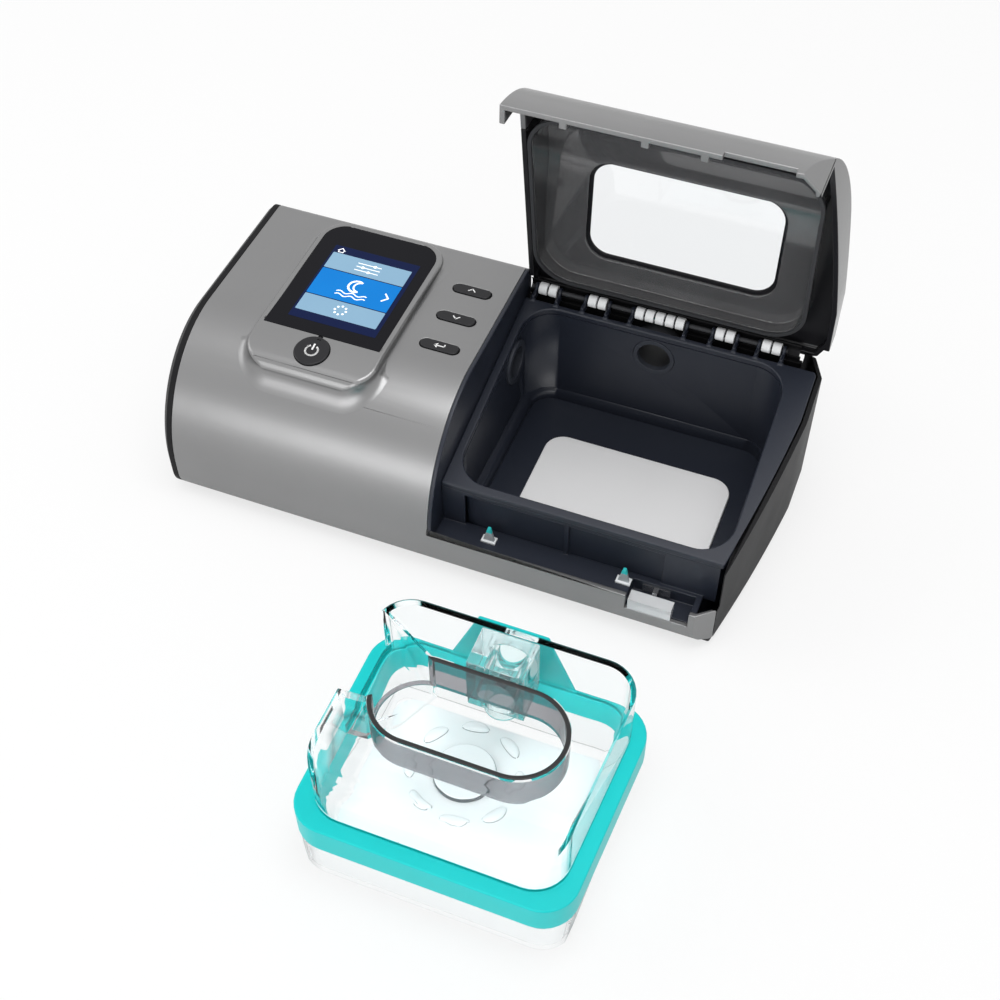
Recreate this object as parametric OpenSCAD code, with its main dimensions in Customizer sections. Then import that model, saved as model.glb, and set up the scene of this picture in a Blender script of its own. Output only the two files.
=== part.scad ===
/* [Machine body] */
// Distance from the bay to the right end of the machine
bay_right = 13.8; // [13:0.2:20]
// Distance from the bay to the back face
bay_back = 10.5; // [10:0.5:14]
// Height of the closed machine above the table
body_h = 77; // [76:1:84]
// Depth over which the front curves up into the top
curve_d = 50; // [44:1:54]
// Height at which the front starts to curve
curve_z = 20; // [16:1:22]
// Wall of the shells
wall = 2.2; // [1.8:0.1:2.4]
// Length of the full height silver shell
silver_l = 122; // [120:1:128]
// Thickness of the left end cap
end_cap_t = 5.5; // [4.5:0.5:7]
// Height of the low front band under the bay
band_h = 24; // [22:1:25]
// Height of the rubber feet
foot_h = 2; // [1.5:0.5:3]
// How far the front draws in at its foot
belly = 5; // [3:0.5:5]
// Height over which the foot draws in
belly_h = 9; // [6:0.5:9]
// Gap between the base and the shells above it
base_seam = 0.5; // [0.3:0.1:1]
// How far the right end bulges out beyond the front chamfer
bulge = 12; // [10:1:13]
// Depth over which the right end bulges
bulge_l = 80; // [70:1:90]
// Width of the chamfer at the right end of the front band
chamfer_w = 7.5; // [5:0.5:9]
// Depth of the same chamfer
chamfer_d = 6.5; // [5:0.5:8]

/* [Water bay] */
// Width of the bay opening
bay_w = 118; // [117:1:120]
// Depth of the bay opening
bay_d = 92.5; // [92:0.5:94]
// Distance of the bay opening behind the front face
bay_front = 17; // [17:0.5:18.5]
// Corner radius of the bay
bay_r = 14; // [12:1:18]
// Width of the deck left of the bay
bay_side = 3.9; // [3.5:0.1:4.5]
// Height of the bay floor
bay_floor_z = 9; // [8.5:0.5:9.5]
// Wall of the bay
bay_wall = 2.5; // [2:0.1:2.8]
// Slope of the deck, rising to the back, in degrees
deck_tilt = 11.25; // [10:0.25:11.5]
// Drop from the top of the machine to the front edge of the deck
deck_drop = 31.3; // [31:0.1:32]
// Distance of the deck's front edge behind the front face
deck_front = 13; // [12:0.5:14]
// Thickness of the deck
deck_t = 3; // [2.5:0.1:3.5]
// Thickness of the wall between silver shell and bay
divider_t = 1.8; // [1.4:0.1:2]
// Height of the trough floor in front of the bay
trough_z = 22; // [20:0.5:22.5]
// Width of the heater plate
heater_w = 87; // [80:1:92]
// Depth of the heater plate
heater_d = 57; // [50:1:62]
// Distance of the heater plate behind the front face
heater_front = 30; // [27:1:32]
// Width of the air port in the bay's left wall
side_port_d = 21; // [18:1:22]
// Drop from the deck to that port's centre
side_port_drop = 13.82; // [12.82:0.5:15.32]
// Distance from that port's centre to the back of the bay
side_port_back = 20.5; // [19:0.5:24]
// Height of the rear air port's centre
hose_z = 51.5; // [50:0.5:52]
// Outer diameter of the hose connector
hose_d = 22; // [22:1:22]
// Length of the hose connector behind the back face
hose_l = 20; // [18:1:24]
// Wall of the hose connector
hose_wall = 2; // [1.6:0.1:2.4]

/* [Display and buttons] */
// Distance from the raised display pod to the right edge of the silver shell
pod_right = 34.5; // [32:0.5:36]
// Distance from the pod to the back face
pod_back = 5; // [4:0.5:8]
// Height of the pod above the top of the machine
pod_rise = 3; // [2.6:0.1:4]
// Distance of the pod behind the front face
pod_front = 22.5; // [21:0.5:23]
// Distance from the left end of the machine to the pod
pod_left = 33; // [31:1:35]
// Corner radius of the pod
pod_r = 13; // [11:1:15]
// Radius of the pod's falling front
pod_fall_r = 97; // [90:1:110]
// Radius of the pod's front edge
pod_roll = 5; // [3:0.5:5]
// Width of the pod's rim beside the display glass
glass_side = 3; // [2.5:0.5:5]
// Distance from the pod's front edge to the glass
glass_front = 20.5; // [20.5:0.5:24]
// Thickness of the display glass
glass_t = 1.6; // [1.2:0.1:1.8]
// Distance from the pod's back edge to the glass
glass_back = 3; // [2.5:0.5:4]
// Diameter of the power button
power_d = 15.2; // [13:0.1:16]
// Distance from the pod's front edge to the power button's centre
power_front = 11.5; // [11:0.5:11.5]
// Tilt of the power button towards the front, in degrees
power_tilt = 7; // [6:0.5:8]
// Travel of the power button
power_travel = 0.6; // [0.3:0.1:0.6]
// Clearance round each button
button_gap = 0.3; // [0.2:0.05:0.4]
// Travel of the buttons
button_travel = 1; // [0.6:0.1:1]
// Length of a menu button
menu_l = 17.5; // [15:0.5:19]
// Width of a menu button
menu_w = 5.4; // [4.8:0.1:6.4]
// Distance between menu buttons
menu_pitch = 18.4; // [16:0.1:19]
// Distance from the front face to the nearest menu button's centre
menu_front = 57.9; // [56:0.1:60]
// Distance from the menu buttons' centre line to the right edge of the shell
menu_side = 16.5; // [15:0.1:17]
// How far the menu buttons stand out of the shell
button_proud = 0.5; // [0.3:0.1:0.8]

/* [Blower] */
// Outer diameter of the blower housing
blower_d = 68; // [64:1:69]
// Height of the blower housing
blower_h = 20; // [19:1:21]
// Wall of the blower housing
blower_wall = 2; // [1.6:0.1:2.2]
// Diameter of the impeller
impeller_d = 54; // [46:1:56]
// Number of impeller blades
blade_count = 9; // [7:1:12]
// Diameter of the blower's outlet tube
outlet_d = 16; // [15:1:17]
// Diameter of the motor
motor_d = 32; // [28:1:34]
// Diameter of the blower shaft
shaft_d = 3; // [2.5:0.1:3.5]
// Running clearance of the shaft in its bearings, on the radius
shaft_gap = 0.05; // [0.02:0.01:0.09]
// Distance from the blower's centre to the right edge of the silver shell
blower_side = 57; // [54:1:60]

/* [Lid] */
// Angle by which the lid stands open, in degrees
lid_open = 93.4; // [85:0.1:95]
// Gap under and beside the closed lid
lid_gap = 0.6; // [0.5:0.1:0.8]
// Distance of the hinge axis in front of the back face
hinge_back = 2.5; // [2.5:0.1:3]
// Height of the hinge axis above the deck
hinge_rise = 1.2; // [1:0.1:1.5]
// Radius of the hinge knuckles
knuckle_r = 2.8; // [2.4:0.1:2.8]
// Width of one hinge knuckle
knuckle_w = 3.8; // [3.4:0.1:4.2]
// Diameter of the hinge rod
rod_d = 2; // [1.6:0.1:2.4]
// Running clearance of the hinge rod, on the radius
rod_gap = 0.05; // [0.02:0.01:0.09]
// Width of the lid window
window_w = 82; // [76:1:84]
// Depth of the lid window
window_d = 46; // [42:1:47]
// Corner radius of the lid window
window_r = 9; // [6:1:12]
// Distance of the window behind the front face
window_front = 50; // [49:1:52]
// Distance from the divider to the window
window_side = 26; // [24:1:28]
// Width of the ledge that holds the window pane
window_ledge = 2; // [1.6:0.1:2.6]
// Thickness of the window pane
window_t = 1.2; // [1:0.1:1.2]
// How far the silver trim reaches back from the front face
trim_back = 25; // [22:1:28]
// Wall of the inner liner of the lid
liner_wall = 1.6; // [1.4:0.1:2]
// Length of the latch button
latch_l = 18.5; // [17:0.5:20]
// Travel of the latch button
latch_travel = 2; // [1.5:0.1:2.2]

/* [Water tank] */
// Distance between the machine and the tank that stands before it
tank_gap = 54.8; // [50:0.2:70]
// How much narrower than the bay the tank is, at its back
tank_side_play = 4.6; // [4:0.2:8]
// How much narrower the tank is at its front
tank_narrow = 3.2; // [0:0.2:5]
// How much shallower than the bay the tank is
tank_play = 1.5; // [1:0.5:4]
// Distance of the tank's centre left of the bay's centre
tank_shift = 2.8; // [0:0.2:10]
// Height of the tray under the band
tray_h = 19; // [17:0.5:19.5]
// Draft of the tray's side walls from the band down to the floor
tray_draft = 3.5; // [1:0.5:5]
// Height of the band
tank_band_h = 14; // [12:0.5:14.5]
// Height of the clear cover above the band
cover_h = 28.5; // [26:0.5:28.5]
// Corner radius of the tank band
tank_r = 14; // [12:0.5:17]
// Wall of the clear parts of the tank
tank_wall = 2; // [1.6:0.1:2.4]
// Width of the band's ledge at the cover's sides
ledge_side = 5.6; // [4.8:0.1:6]
// Width of the band's ledge in front of the cover
ledge_front = 5.9; // [5:0.1:6.5]
// Radius of the cover's front top edge
cover_r = 20; // [18:0.5:24]
// Length of the oval baffle
baffle_l = 76; // [72:1:78]
// Width of the oval baffle
baffle_w = 38; // [34:1:40]
// Height of the oval baffle
baffle_h = 17.5; // [15:0.5:19]
// Wall of the oval baffle
baffle_wall = 1.8; // [1.4:0.1:2.2]
// Width of the air outlet block at the back of the cover
outlet_w = 23; // [22:0.5:26]
// Depth of the air outlet block
outlet_block_d = 17; // [16:0.5:17.5]
// Number of pressed beads in the tank's bottom plate
bead_count = 8; // [6:1:10]

/* [Hidden] */
$fn = 64;

// Fits and small clearances
part_gap = 0.15;
eps = 0.01;

// Colours as the object shows them
silver = [0.72, 0.72, 0.74];
black = [0.09, 0.09, 0.10];
navy = [0.17, 0.19, 0.23];
smoke = [0.24, 0.25, 0.26];
teal = [0.19, 0.84, 0.84];
clear = [0.88, 0.93, 0.94, 0.45];
white = [0.94, 0.94, 0.95];
steel = [0.75, 0.76, 0.78];
board_green = [0.08, 0.36, 0.22];
rubber_grey = [0.22, 0.22, 0.24];

// Sizes that follow from those above
body_l = end_cap_t + silver_l + divider_t + bay_side + bay_w + bay_right;
body_d = bay_front + bay_d + bay_back;
deck_front_z = body_h - deck_drop;
pod_z = body_h + pod_rise;
pod_w = end_cap_t + silver_l - pod_left - pod_right;
pod_d = body_d - pod_front - pod_back;
glass_w = pod_w - 2 * glass_side;
glass_d = pod_d - glass_front - glass_back;
tank_w = bay_w - tank_side_play;
tank_d = bay_d - tank_play;

// Main planes of the machine. The origin is the middle of the whole set's footprint.
total_d = tank_d + tank_gap + body_d + hose_l;
x_left = -body_l / 2;
x_right = body_l / 2;
x_silver = x_left + end_cap_t;
x_split = x_silver + silver_l;
x_deck = x_split + divider_t;
x_chamfer = x_right - bulge;
y_front = -total_d / 2 + tank_d + tank_gap;
y_back = y_front + body_d;
z_base = foot_h;
base_t = 2.5;
z_shell = z_base + base_t + base_seam;

// Bay
bay_x0 = x_deck + bay_side;
bay_x = bay_x0 + bay_w / 2;
bay_y0 = y_front + bay_front;
bay_y = bay_y0 + bay_d / 2;
deck_y = y_front + deck_front;
deck_y1 = bay_y0 + bay_d + bay_wall;
heater_x = bay_x + 3.5;
heater_y = y_front + heater_front + heater_d / 2;
heater_r = 9;
heater_t = 2.4;
side_port_yy = bay_y0 + bay_d - side_port_back;
function deck_z(y) = deck_front_z + (y - deck_y) * tan(deck_tilt);
side_port_z = deck_z(side_port_yy) - side_port_drop;
trough_back = bay_y0 - bay_wall;
trough_face = deck_y + 0.3;
sleeve_wall = 2.4;
port_r = 8;
nozzle_out = 0.4;
port_offset = -1;
hose_x = bay_x + port_offset;

// Display pod and buttons
pod_x = x_left + pod_left + pod_w / 2;
pod_y0 = y_front + pod_front;
pod_y = pod_y0 + pod_d / 2;
pod_flat = 24;
pod_wall = 2.2;
glass_y = pod_y0 + pod_d - glass_back - glass_d / 2;
glass_r = 10;
lcd_w = glass_w - 8;
lcd_d = glass_d - 13;
lcd_t = 2.8;
display_board_t = 1.6;
power_y = pod_y0 + power_front;
power_t = 2.6;
power_switch_h = 0.5;
flange_t = 1;
flange_lip = 1.2;
menu_x = x_split - menu_side;
menu_y0 = y_front + menu_front;
board_t = 1.6;
switch_h = 0.8;
menu_flange_z = body_h - wall - part_gap;
button_board_z = menu_flange_z - flange_t - button_travel - switch_h - board_t - 0.1;

// Blower
blower_x = x_split - blower_side;
blower_y = side_port_yy - blower_d / 2 + outlet_d / 2 - 1;
blower_z = side_port_z - blower_h / 2;
motor_h = 20;
bearing_d = 8;
bearing_w = 3;
tube_end = x_split - 17;

// Rear side
board_gap = 11;
board_y = y_back - board_gap;
board_l = 82;
board_z = 12;
board_h = body_h - board_z - 18;
board_x = x_split - board_l - 4;
jack_x = x_split - 30;
jack_z = 24;
jack_w = 13;
jack_bore_d = 6.5;
jack_l = 9;
card_x = x_split - 72;
card_z = 30;
card_w = 26;
card_h = 8;
filter_x = x_left + 26;
filter_z = 34;
filter_s = 28;

// Lid, tub and hinge
hinge_y = y_back - hinge_back;
hinge_z = deck_z(hinge_y) + hinge_rise;
lid_x0 = x_split + divider_t + 0.35;
lid_step_y = deck_y - 4.6;
knuckle_groups = [[bay_x0 + 5.4, 2], [bay_x0 + 28.6, 2], [bay_x0 + 57.4, 5],
    [bay_x0 + 86.9, 2], [bay_x0 + 107.6, 2]];
knuckle_pitch = knuckle_w + 0.8;
knuckle_t = 4;
flange_d = hose_d + 1.6;
knuckle_arm = 1.6;
rear_top_z = hinge_z - 5.5;
skirt = 8;
divider_z = z_shell + 4.2;
liner_r = 17;
liner_x0 = lid_x0 + wall + part_gap;
liner_w = bay_w + 3;
liner_y0 = bay_y0 - 0.5;
liner_d = bay_d + 1.6;
window_x = x_split + window_side + window_w / 2;
window_y = y_front + window_front + window_d / 2;

// Latch
latch_x = bay_x0 + 93;
latch_h = 6.2;
latch_d = 5.4;
latch_pocket = 27;
latch_pocket_x = latch_x + 3.2;
latch_floor_z = trough_z - 6.2;
hook_xs = [bay_x0 + 19.3, bay_x0 + 79.3];
tab_xs = [bay_x0 + 21.6, bay_x0 + 53.5, bay_x0 + 76.2];

// Tank, with its own origin at the middle of its band
tank_x = bay_x - tank_shift;
tank_y = y_front - tank_gap - tank_d / 2;
band_z = tray_h;
cover_z = tray_h + tank_band_h;
tank_top = cover_z + cover_h;
tongue_t = 1.1;
ledge_back = tongue_t + 0.1;
band_y0 = -tank_d / 2;
band_y1 = tank_d / 2;
cover_y0 = band_y0 + ledge_front;
cover_y1 = band_y1 - ledge_back;
band_x0 = -tank_w / 2;
band_x1 = tank_w / 2;
baffle_x = -2.5;
baffle_gap = 3.05;
baffle_y = cover_y1 - tank_wall - part_gap - outlet_block_d - baffle_gap - baffle_w / 2;
plate_t = 1.2;
plate_inset = 9;
seat_z = bay_floor_z + heater_t / 2;
outlet_z = hose_z - seat_z;
notch_z = cover_z + 3;
notch_back = band_y1 - 11.1;
notch_front = notch_back - 38;
tongue_top = 28;
tongue_foot = 52;

// ---------- Shared outlines ----------

// Rounded rectangle as points, centred on the origin
function rr(w, d, r, n = 10) = [for (c = [0:3]) for (i = [0:n])
    let (a = 90 * c + 90 * i / n,
         cx = (c == 0 || c == 3 ? 1 : -1) * (w / 2 - r),
         cy = (c < 2 ? 1 : -1) * (d / 2 - r))
    [cx + r * cos(a), cy + r * sin(a)]];

// Front curve of the machine seen from its side
function front_curve(inset, n = 24) = [for (i = [0:n])
    let (a = 90 * i / n)
    [y_front + curve_d - (curve_d - inset) * cos(a),
     curve_z + (body_h - curve_z - inset) * sin(a)]];

// How far the front draws in at height z
function foot_in(z) = let (t = min(max((z_shell + belly_h - z) / belly_h, 0), 1))
    belly * (1 - sqrt(1 - t * t));

// Side outline of the machine, from z0 up, with a small radius at the back
function side_outline(inset, z0) = concat(
    [[y_front + inset + foot_in(z0), z0]],
    [for (i = [1:6]) let (z = z_shell + belly_h * i / 6) if (z > z0 + 0.2)
        [y_front + inset + foot_in(z), z]],
    front_curve(inset),
    [for (i = [0:6]) let (a = 90 - 15 * i, r = max(4 - inset, 0.5))
        [y_back - inset - r + r * cos(a), body_h - inset - r + r * sin(a)]],
    [[y_back - inset, z0]]);

// Right end of the machine seen from above
function right_end(inset, n = 10) = concat(
    [for (i = [0:n]) let (s = i / n)
        [x_chamfer + bulge * s * (1.35 - 0.35 * s) - inset,
         y_front + chamfer_d + s * bulge_l]],
    [[x_right - inset, y_back - 10],
     [x_right - 5 - inset, y_back - 1],
     [x_right - 8 - inset, y_back - inset * 0.1]]);

// Outline of the machine seen from above, from x0 to the right end
function top_outline(x0, inset) = concat(
    [[x0, y_front + inset], [x_chamfer - chamfer_w, y_front + inset]],
    right_end(inset),
    [[x0, y_back - inset * 0.1]]);

// Plan of the base, drawn back in front as the foot of the shells is
module base_plan(x0, inset) {
    intersection() {
        polygon(top_outline(x0, inset));
        translate([x0 - 1, y_front + belly + inset])
            square([body_l + 5, body_d]);
    }
}

// Extrudes a side outline from x0 to x1
module along_x(x0, x1) {
    translate([x0, 0, 0])
        rotate([90, 0, 90])
            linear_extrude(x1 - x0)
                children();
}

// Everything above the tilted deck plane, raised by lift
module above_deck(lift) {
    along_x(x_left - 10, x_right + 10)
        polygon([[y_front - 10, deck_z(y_front - 10) + lift],
                 [y_back + 10, deck_z(y_back + 10) + lift],
                 [y_back + 10, body_h + 20],
                 [y_front - 10, body_h + 20]]);
}

module rounded_block(w, d, r, z0, z1) {
    translate([0, 0, z0])
        linear_extrude(z1 - z0)
            polygon(rr(w, d, r));
}

// Stadium of length l and width w, standing on z0
module stadium(l, w, z0, z1) {
    translate([0, 0, z0])
        linear_extrude(z1 - z0)
            union() {
                square([l - w, w], center = true);
                for (s = [-1, 1])
                    translate([s * (l - w) / 2, 0])
                        circle(d = w);
            }
}

module tube(d_out, d_in, h) {
    difference() {
        cylinder(d = d_out, h = h);
        translate([0, 0, -eps])
            cylinder(d = d_in, h = h + 2 * eps);
    }
}

// Turns a part of the closed lid to the angle at which the lid stands open
module opened() {
    translate([0, hinge_y, hinge_z])
        rotate([-lid_open, 0, 0])
            translate([0, -hinge_y, -hinge_z])
                children();
}

// ---------- Casing ----------

// Silver shell over the left half, with the low band that runs on under the bay
module silver_shell() {
    skirt_z = body_h - skirt;
    color(silver) {
        difference() {
            along_x(x_silver, x_split)
                polygon(side_outline(0, z_shell));
            along_x(x_silver - 1, x_split + 1)
                polygon(side_outline(wall, z_shell - 1));
            translate([x_silver - 1, y_back - 3 * wall, 0])
                cube([silver_l + 2, 4 * wall, skirt_z]);
            pod_prism(part_gap, curve_z + 20, body_h + 10);
            for (i = [0:2])
                translate([menu_x, menu_y0 + i * menu_pitch, 0])
                    stadium(menu_l + 2 * button_gap, menu_w + 2 * button_gap,
                        body_h - wall - 1, body_h + 5);
        }
        difference() {
            intersection() {
                translate([0, 0, z_shell])
                    linear_extrude(band_h - z_shell)
                        polygon(top_outline(x_split, 0));
                along_x(x_split, x_right)
                    polygon(side_outline(0, z_shell));
            }
            intersection() {
                translate([0, 0, z_shell - 1])
                    linear_extrude(band_h)
                        polygon(top_outline(x_split - 1, wall));
                along_x(x_split - 1, x_right)
                    polygon(side_outline(wall, z_shell - 1));
            }
            translate([x_chamfer, y_front - 1, 0])
                cube([bulge + 5, body_d + 2, body_h]);
            translate([x_split - 1, y_front + chamfer_d, 0])
                cube([body_l, body_d, body_h]);
            latch_space(0);
        }
        for (sx = [-1, 1])
            for (sy = [0, 1])
                translate([menu_x + sx * 11.5, menu_y0 - 9 + sy * (2 * menu_pitch + 18),
                           button_board_z + board_t])
                    cylinder(d = 4, h = body_h - wall - button_board_z - board_t);
    }
}

module latch_space(extra) {
    translate([latch_pocket_x - latch_pocket / 2 - extra, y_front - 1, latch_floor_z - extra])
        cube([latch_pocket + 2 * extra, chamfer_d + 8, 20]);
}

// Black cap on the left end, domed outward, hollow inside
module left_end_cap() {
    color(black)
        difference() {
            hull() {
                along_x(x_silver - 2.5, x_silver)
                    polygon(side_outline(0, z_base + 1));
                along_x(x_left, x_left + 0.5)
                    polygon(side_outline(3.5, z_base + 3));
            }
            along_x(x_silver - 3, x_silver + 1)
                polygon(side_outline(2 * wall, z_base + base_t + 2));
        }
}

// Dark cap that wraps the bulged right end below the deck
module right_end_cap() {
    color(black)
        difference() {
            intersection() {
                translate([0, 0, z_shell])
                    linear_extrude(body_h)
                        polygon(top_outline(x_split, 0));
                along_x(x_split, x_right + 1)
                    polygon(side_outline(0, z_shell));
            }
            linear_extrude(body_h + 1)
                polygon(top_outline(x_split, wall));
            above_deck(-part_gap);
            translate([x_split - 1, y_front - 1, 0])
                cube([x_chamfer - x_split + 1, body_d + 2, body_h + 1]);
            translate([x_chamfer - 1, y_front - 1, band_h])
                cube([bulge + 5, lid_step_y + lid_gap - y_front + 1, body_h]);
            translate([0, y_back - wall - part_gap, 0])
                cube([x_right - 8 - wall, 5, body_h]);
        }
}

// Bottom tray of the machine, with bosses for the screws
module base_shell() {
    screw_points = base_points();
    color(black)
        difference() {
            union() {
                translate([0, 0, z_base])
                    linear_extrude(base_t)
                        base_plan(x_silver + part_gap, 1);
                difference() {
                    translate([0, 0, z_base])
                        linear_extrude(base_t + 4)
                            base_plan(x_silver + 1, wall + part_gap);
                    translate([0, 0, z_base])
                        linear_extrude(base_t + 5)
                            base_plan(x_silver + 1 + wall, 2 * wall);
                    translate([x_silver, y_back - 3 * wall, z_base + base_t])
                        cube([body_l, 4 * wall, 5]);
                }
                for (p = screw_points)
                    translate([p[0], p[1], z_base])
                        cylinder(d = 8, h = base_t + 4.5);
                for (i = [0:3])
                    translate([heater_x + (i % 2 == 0 ? -1 : 1) * heater_w * 0.36,
                               heater_y + (i < 2 ? -1 : 1) * heater_d * 0.3, z_base])
                        cylinder(d = 9, h = base_t + 0.8);
            }
            translate([bay_x, bay_y, z_base + base_t])
                linear_extrude(20)
                    polygon(rr(bay_w + 2 * bay_wall + 2 * part_gap,
                        bay_d + 2 * bay_wall + 2 * part_gap, bay_r + bay_wall));
            for (p = screw_points)
                translate([p[0], p[1], z_base - 1])
                    union() {
                        cylinder(d = 3.4, h = base_t + 8);
                        cylinder(d = 6.4, h = 3);
                    }
        }
}

function base_points() = [
    [x_silver + 12, y_front + 15], [x_silver + 12, y_back - 14],
    [x_split - 12, y_front + 13], [x_split - 10, y_back - 22],
    [x_right - 24, y_front + 12], [x_right - 8, y_back - 40]];

// Back wall with the holes for hose, power, filter and card
module rear_panel() {
    y0 = y_back - wall;
    color(black)
        difference() {
            union() {
                translate([x_silver, y0, z_shell])
                    cube([silver_l - part_gap, wall, body_h - skirt - part_gap - z_shell]);
                translate([x_deck + part_gap, y0, z_shell])
                    cube([x_right - 8 - x_deck - wall - 3 * part_gap, wall, rear_top_z - z_shell]);
                translate([x_split - 2, y0, z_shell])
                    cube([divider_t + 4, wall, divider_z - part_gap - z_shell]);
                // posts that carry the main board
                for (sx = [0, 1])
                    for (sz = [0, 1])
                        translate([board_x + 6 + sx * (board_l - 12), board_y + board_t,
                                   board_z + 6 + sz * (board_h - 12)])
                            rotate([-90, 0, 0])
                                cylinder(d = 5, h = board_gap - board_t - wall / 2);
                // frame that holds the filter pad
                difference() {
                    translate([filter_x - filter_s / 2 - 3.6, y0 - 6, filter_z - filter_s / 2 - 3.6])
                        cube([filter_s + 7.2, 6 + wall / 2, filter_s + 7.2]);
                    translate([filter_x - filter_s / 2 - 2, y0 - 7, filter_z - filter_s / 2 - 2])
                        cube([filter_s + 4, 10, filter_s + 4]);
                }
            }
            translate([hose_x, y0 - 1, hose_z])
                rotate([-90, 0, 0])
                    cylinder(d = flange_d + 2 * part_gap, h = wall + 2);
            translate([jack_x - jack_w / 2 + 2, y0 - 1, jack_z - jack_w / 2 + 2])
                cube([jack_w - 4, wall + 2, jack_w - 4]);
            translate([filter_x - filter_s / 2 - 2, y0 - 1, filter_z - filter_s / 2 - 2])
                cube([filter_s + 4, wall + 2, filter_s + 4]);
            translate([card_x, y0 - 1, card_z])
                cube([card_w, wall + 2, card_h]);
        }
}

module rubber_feet() {
    color(rubber_grey)
        for (p = foot_points())
            translate([p[0], p[1], 0])
                cylinder(d = 13, h = foot_h);
}

function foot_points() = [
    [x_silver + 28, y_front + 14], [x_silver + 28, y_back - 12],
    [x_right - 40, y_front + 14], [x_right - 30, y_back - 12]];

module base_screws() {
    color(steel)
        for (p = base_points())
            translate([p[0], p[1], z_base + 0.3])
                union() {
                    cylinder(d = 6, h = 1.6);
                    cylinder(d = 3, h = base_t + 4);
                }
}

// ---------- Display and buttons ----------

module pod_prism(grow, z0, z1) {
    translate([pod_x, pod_y, 0])
        rounded_block(pod_w + 2 * grow, pod_d + 2 * grow, pod_r + grow, z0, z1);
}

// Top line of the pod: flat behind, falling in a large radius to a rolled front edge
function pod_line(y) = let (t = max(pod_y0 + pod_flat - y, 0),
                            r = max(pod_y0 + pod_roll - y, 0) / pod_roll)
    pod_z - pod_fall_r + sqrt(pow(pod_fall_r, 2) - t * t) - pod_roll * (1 - sqrt(1 - r * r));

function pod_top(drop) = concat(
    [[pod_y0 - 4, pod_line(pod_y0) - drop]],
    [for (i = [0:6]) let (y = pod_y0 + pod_roll * (1 - cos(15 * i))) [y, pod_line(y) - drop]],
    [for (i = [1:10]) let (y = pod_y0 + pod_roll + (pod_flat - pod_roll) * i / 10)
        [y, pod_line(y) - drop]],
    [[pod_y0 + pod_d + 4, pod_z - drop], [pod_y0 + pod_d + 4, 40], [pod_y0 - 4, 40]]);

// Raised silver pod that frames the display
module display_pod() {
    color(silver)
        difference() {
            intersection() {
                pod_prism(0, curve_z + 20, pod_z + 1);
                along_x(x_left, x_split)
                    polygon(pod_top(0));
            }
            intersection() {
                pod_prism(-pod_wall, curve_z + 10, pod_z + 1);
                along_x(x_left, x_split)
                    polygon(pod_top(pod_wall + 1));
            }
            along_x(x_left, x_split)
                polygon(side_outline(wall + 4, 0));
            translate([x_left, y_front + curve_d, 0])
                cube([silver_l, body_d, body_h - wall - 4]);
            translate([pod_x, glass_y, pod_z - glass_t])
                linear_extrude(5)
                    polygon(glass_outline(part_gap));
            translate([pod_x, glass_y, 0])
                rounded_block(lcd_w + 2 * part_gap, lcd_d + 2 * part_gap, 1, pod_z - 20, pod_z);
            translate([pod_x, power_y, pod_z])
                rotate([power_tilt, 0, 0])
                    translate([0, 0, -12])
                        cylinder(d = power_d + 2 * button_gap, h = 20);
        }
}

// Glass with two round corners behind and two square ones in front
function glass_outline(grow) = concat(
    [for (c = [0:1]) for (i = [0:8])
        let (a = 90 * c + 90 * i / 8, r = glass_r + grow)
        [(c == 0 ? 1 : -1) * (glass_w / 2 + grow - r) + r * cos(a),
         glass_d / 2 + grow - r + r * sin(a)]],
    [[-glass_w / 2 - grow, -glass_d / 2 - grow], [glass_w / 2 + grow, -glass_d / 2 - grow]]);

module display_glass() {
    color(black)
        translate([pod_x, glass_y, pod_z - glass_t])
            linear_extrude(glass_t)
                polygon(glass_outline(0));
}

module lcd_panel() {
    color([0.05, 0.45, 0.95])
        translate([pod_x, glass_y, 0])
            rounded_block(lcd_w, lcd_d, 0.8, pod_z - glass_t - lcd_t, pod_z - glass_t);
}

// Board under the display, with the power switch at its front
module display_board() {
    z1 = pod_z - glass_t - lcd_t;
    front = power_y - 2;
    back = glass_y + lcd_d / 2;
    color(board_green) {
        translate([pod_x - lcd_w / 2, front, z1 - display_board_t])
            cube([lcd_w, back - front, display_board_t]);
        translate([pod_x - 3, front, z1])
            cube([6, 6, power_switch_h]);
    }
}

// Round power button, tilted to follow the pod's falling front
module power_button() {
    color(black)
        translate([pod_x, power_y, pod_z - 0.1])
            rotate([power_tilt, 0, 0])
                translate([0, 0, -power_t])
                    cylinder(d = power_d, h = power_t);
}

module menu_button(i) {
    color(black)
        translate([menu_x, menu_y0 + i * menu_pitch, 0])
            union() {
                stadium(menu_l, menu_w, menu_flange_z - flange_t, body_h + button_proud);
                stadium(menu_l + 2 * flange_lip, menu_w + 2 * flange_lip,
                    menu_flange_z - flange_t, menu_flange_z);
            }
}

module up_button() {
    menu_button(2);
}

module down_button() {
    menu_button(1);
}

module enter_button() {
    menu_button(0);
}

// Board with a switch under each menu button, hung from the shell's posts
module button_board() {
    color(board_green) {
        translate([menu_x - 14, menu_y0 - 12, button_board_z])
            cube([28, 2 * menu_pitch + 24, board_t]);
        for (i = [0:2])
            translate([menu_x - 3, menu_y0 + i * menu_pitch - 2.5, button_board_z + board_t])
                cube([6, 5, switch_h]);
    }
}

// ---------- Electronics ----------

// Main board, upright before the rear panel
module main_board() {
    color(board_green) {
        translate([board_x, board_y, board_z])
            cube([board_l, board_t, board_h]);
        translate([board_x + 26, board_y - 3, board_z + 24])
            cube([14, 3, 14]);
        translate([board_x + 48, board_y - 6, board_z + 32])
            cube([10, 6, 12]);
        translate([board_x + 28, board_y - 8, board_z + 2])
            cube([20, 8, 12]);
    }
}

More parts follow.
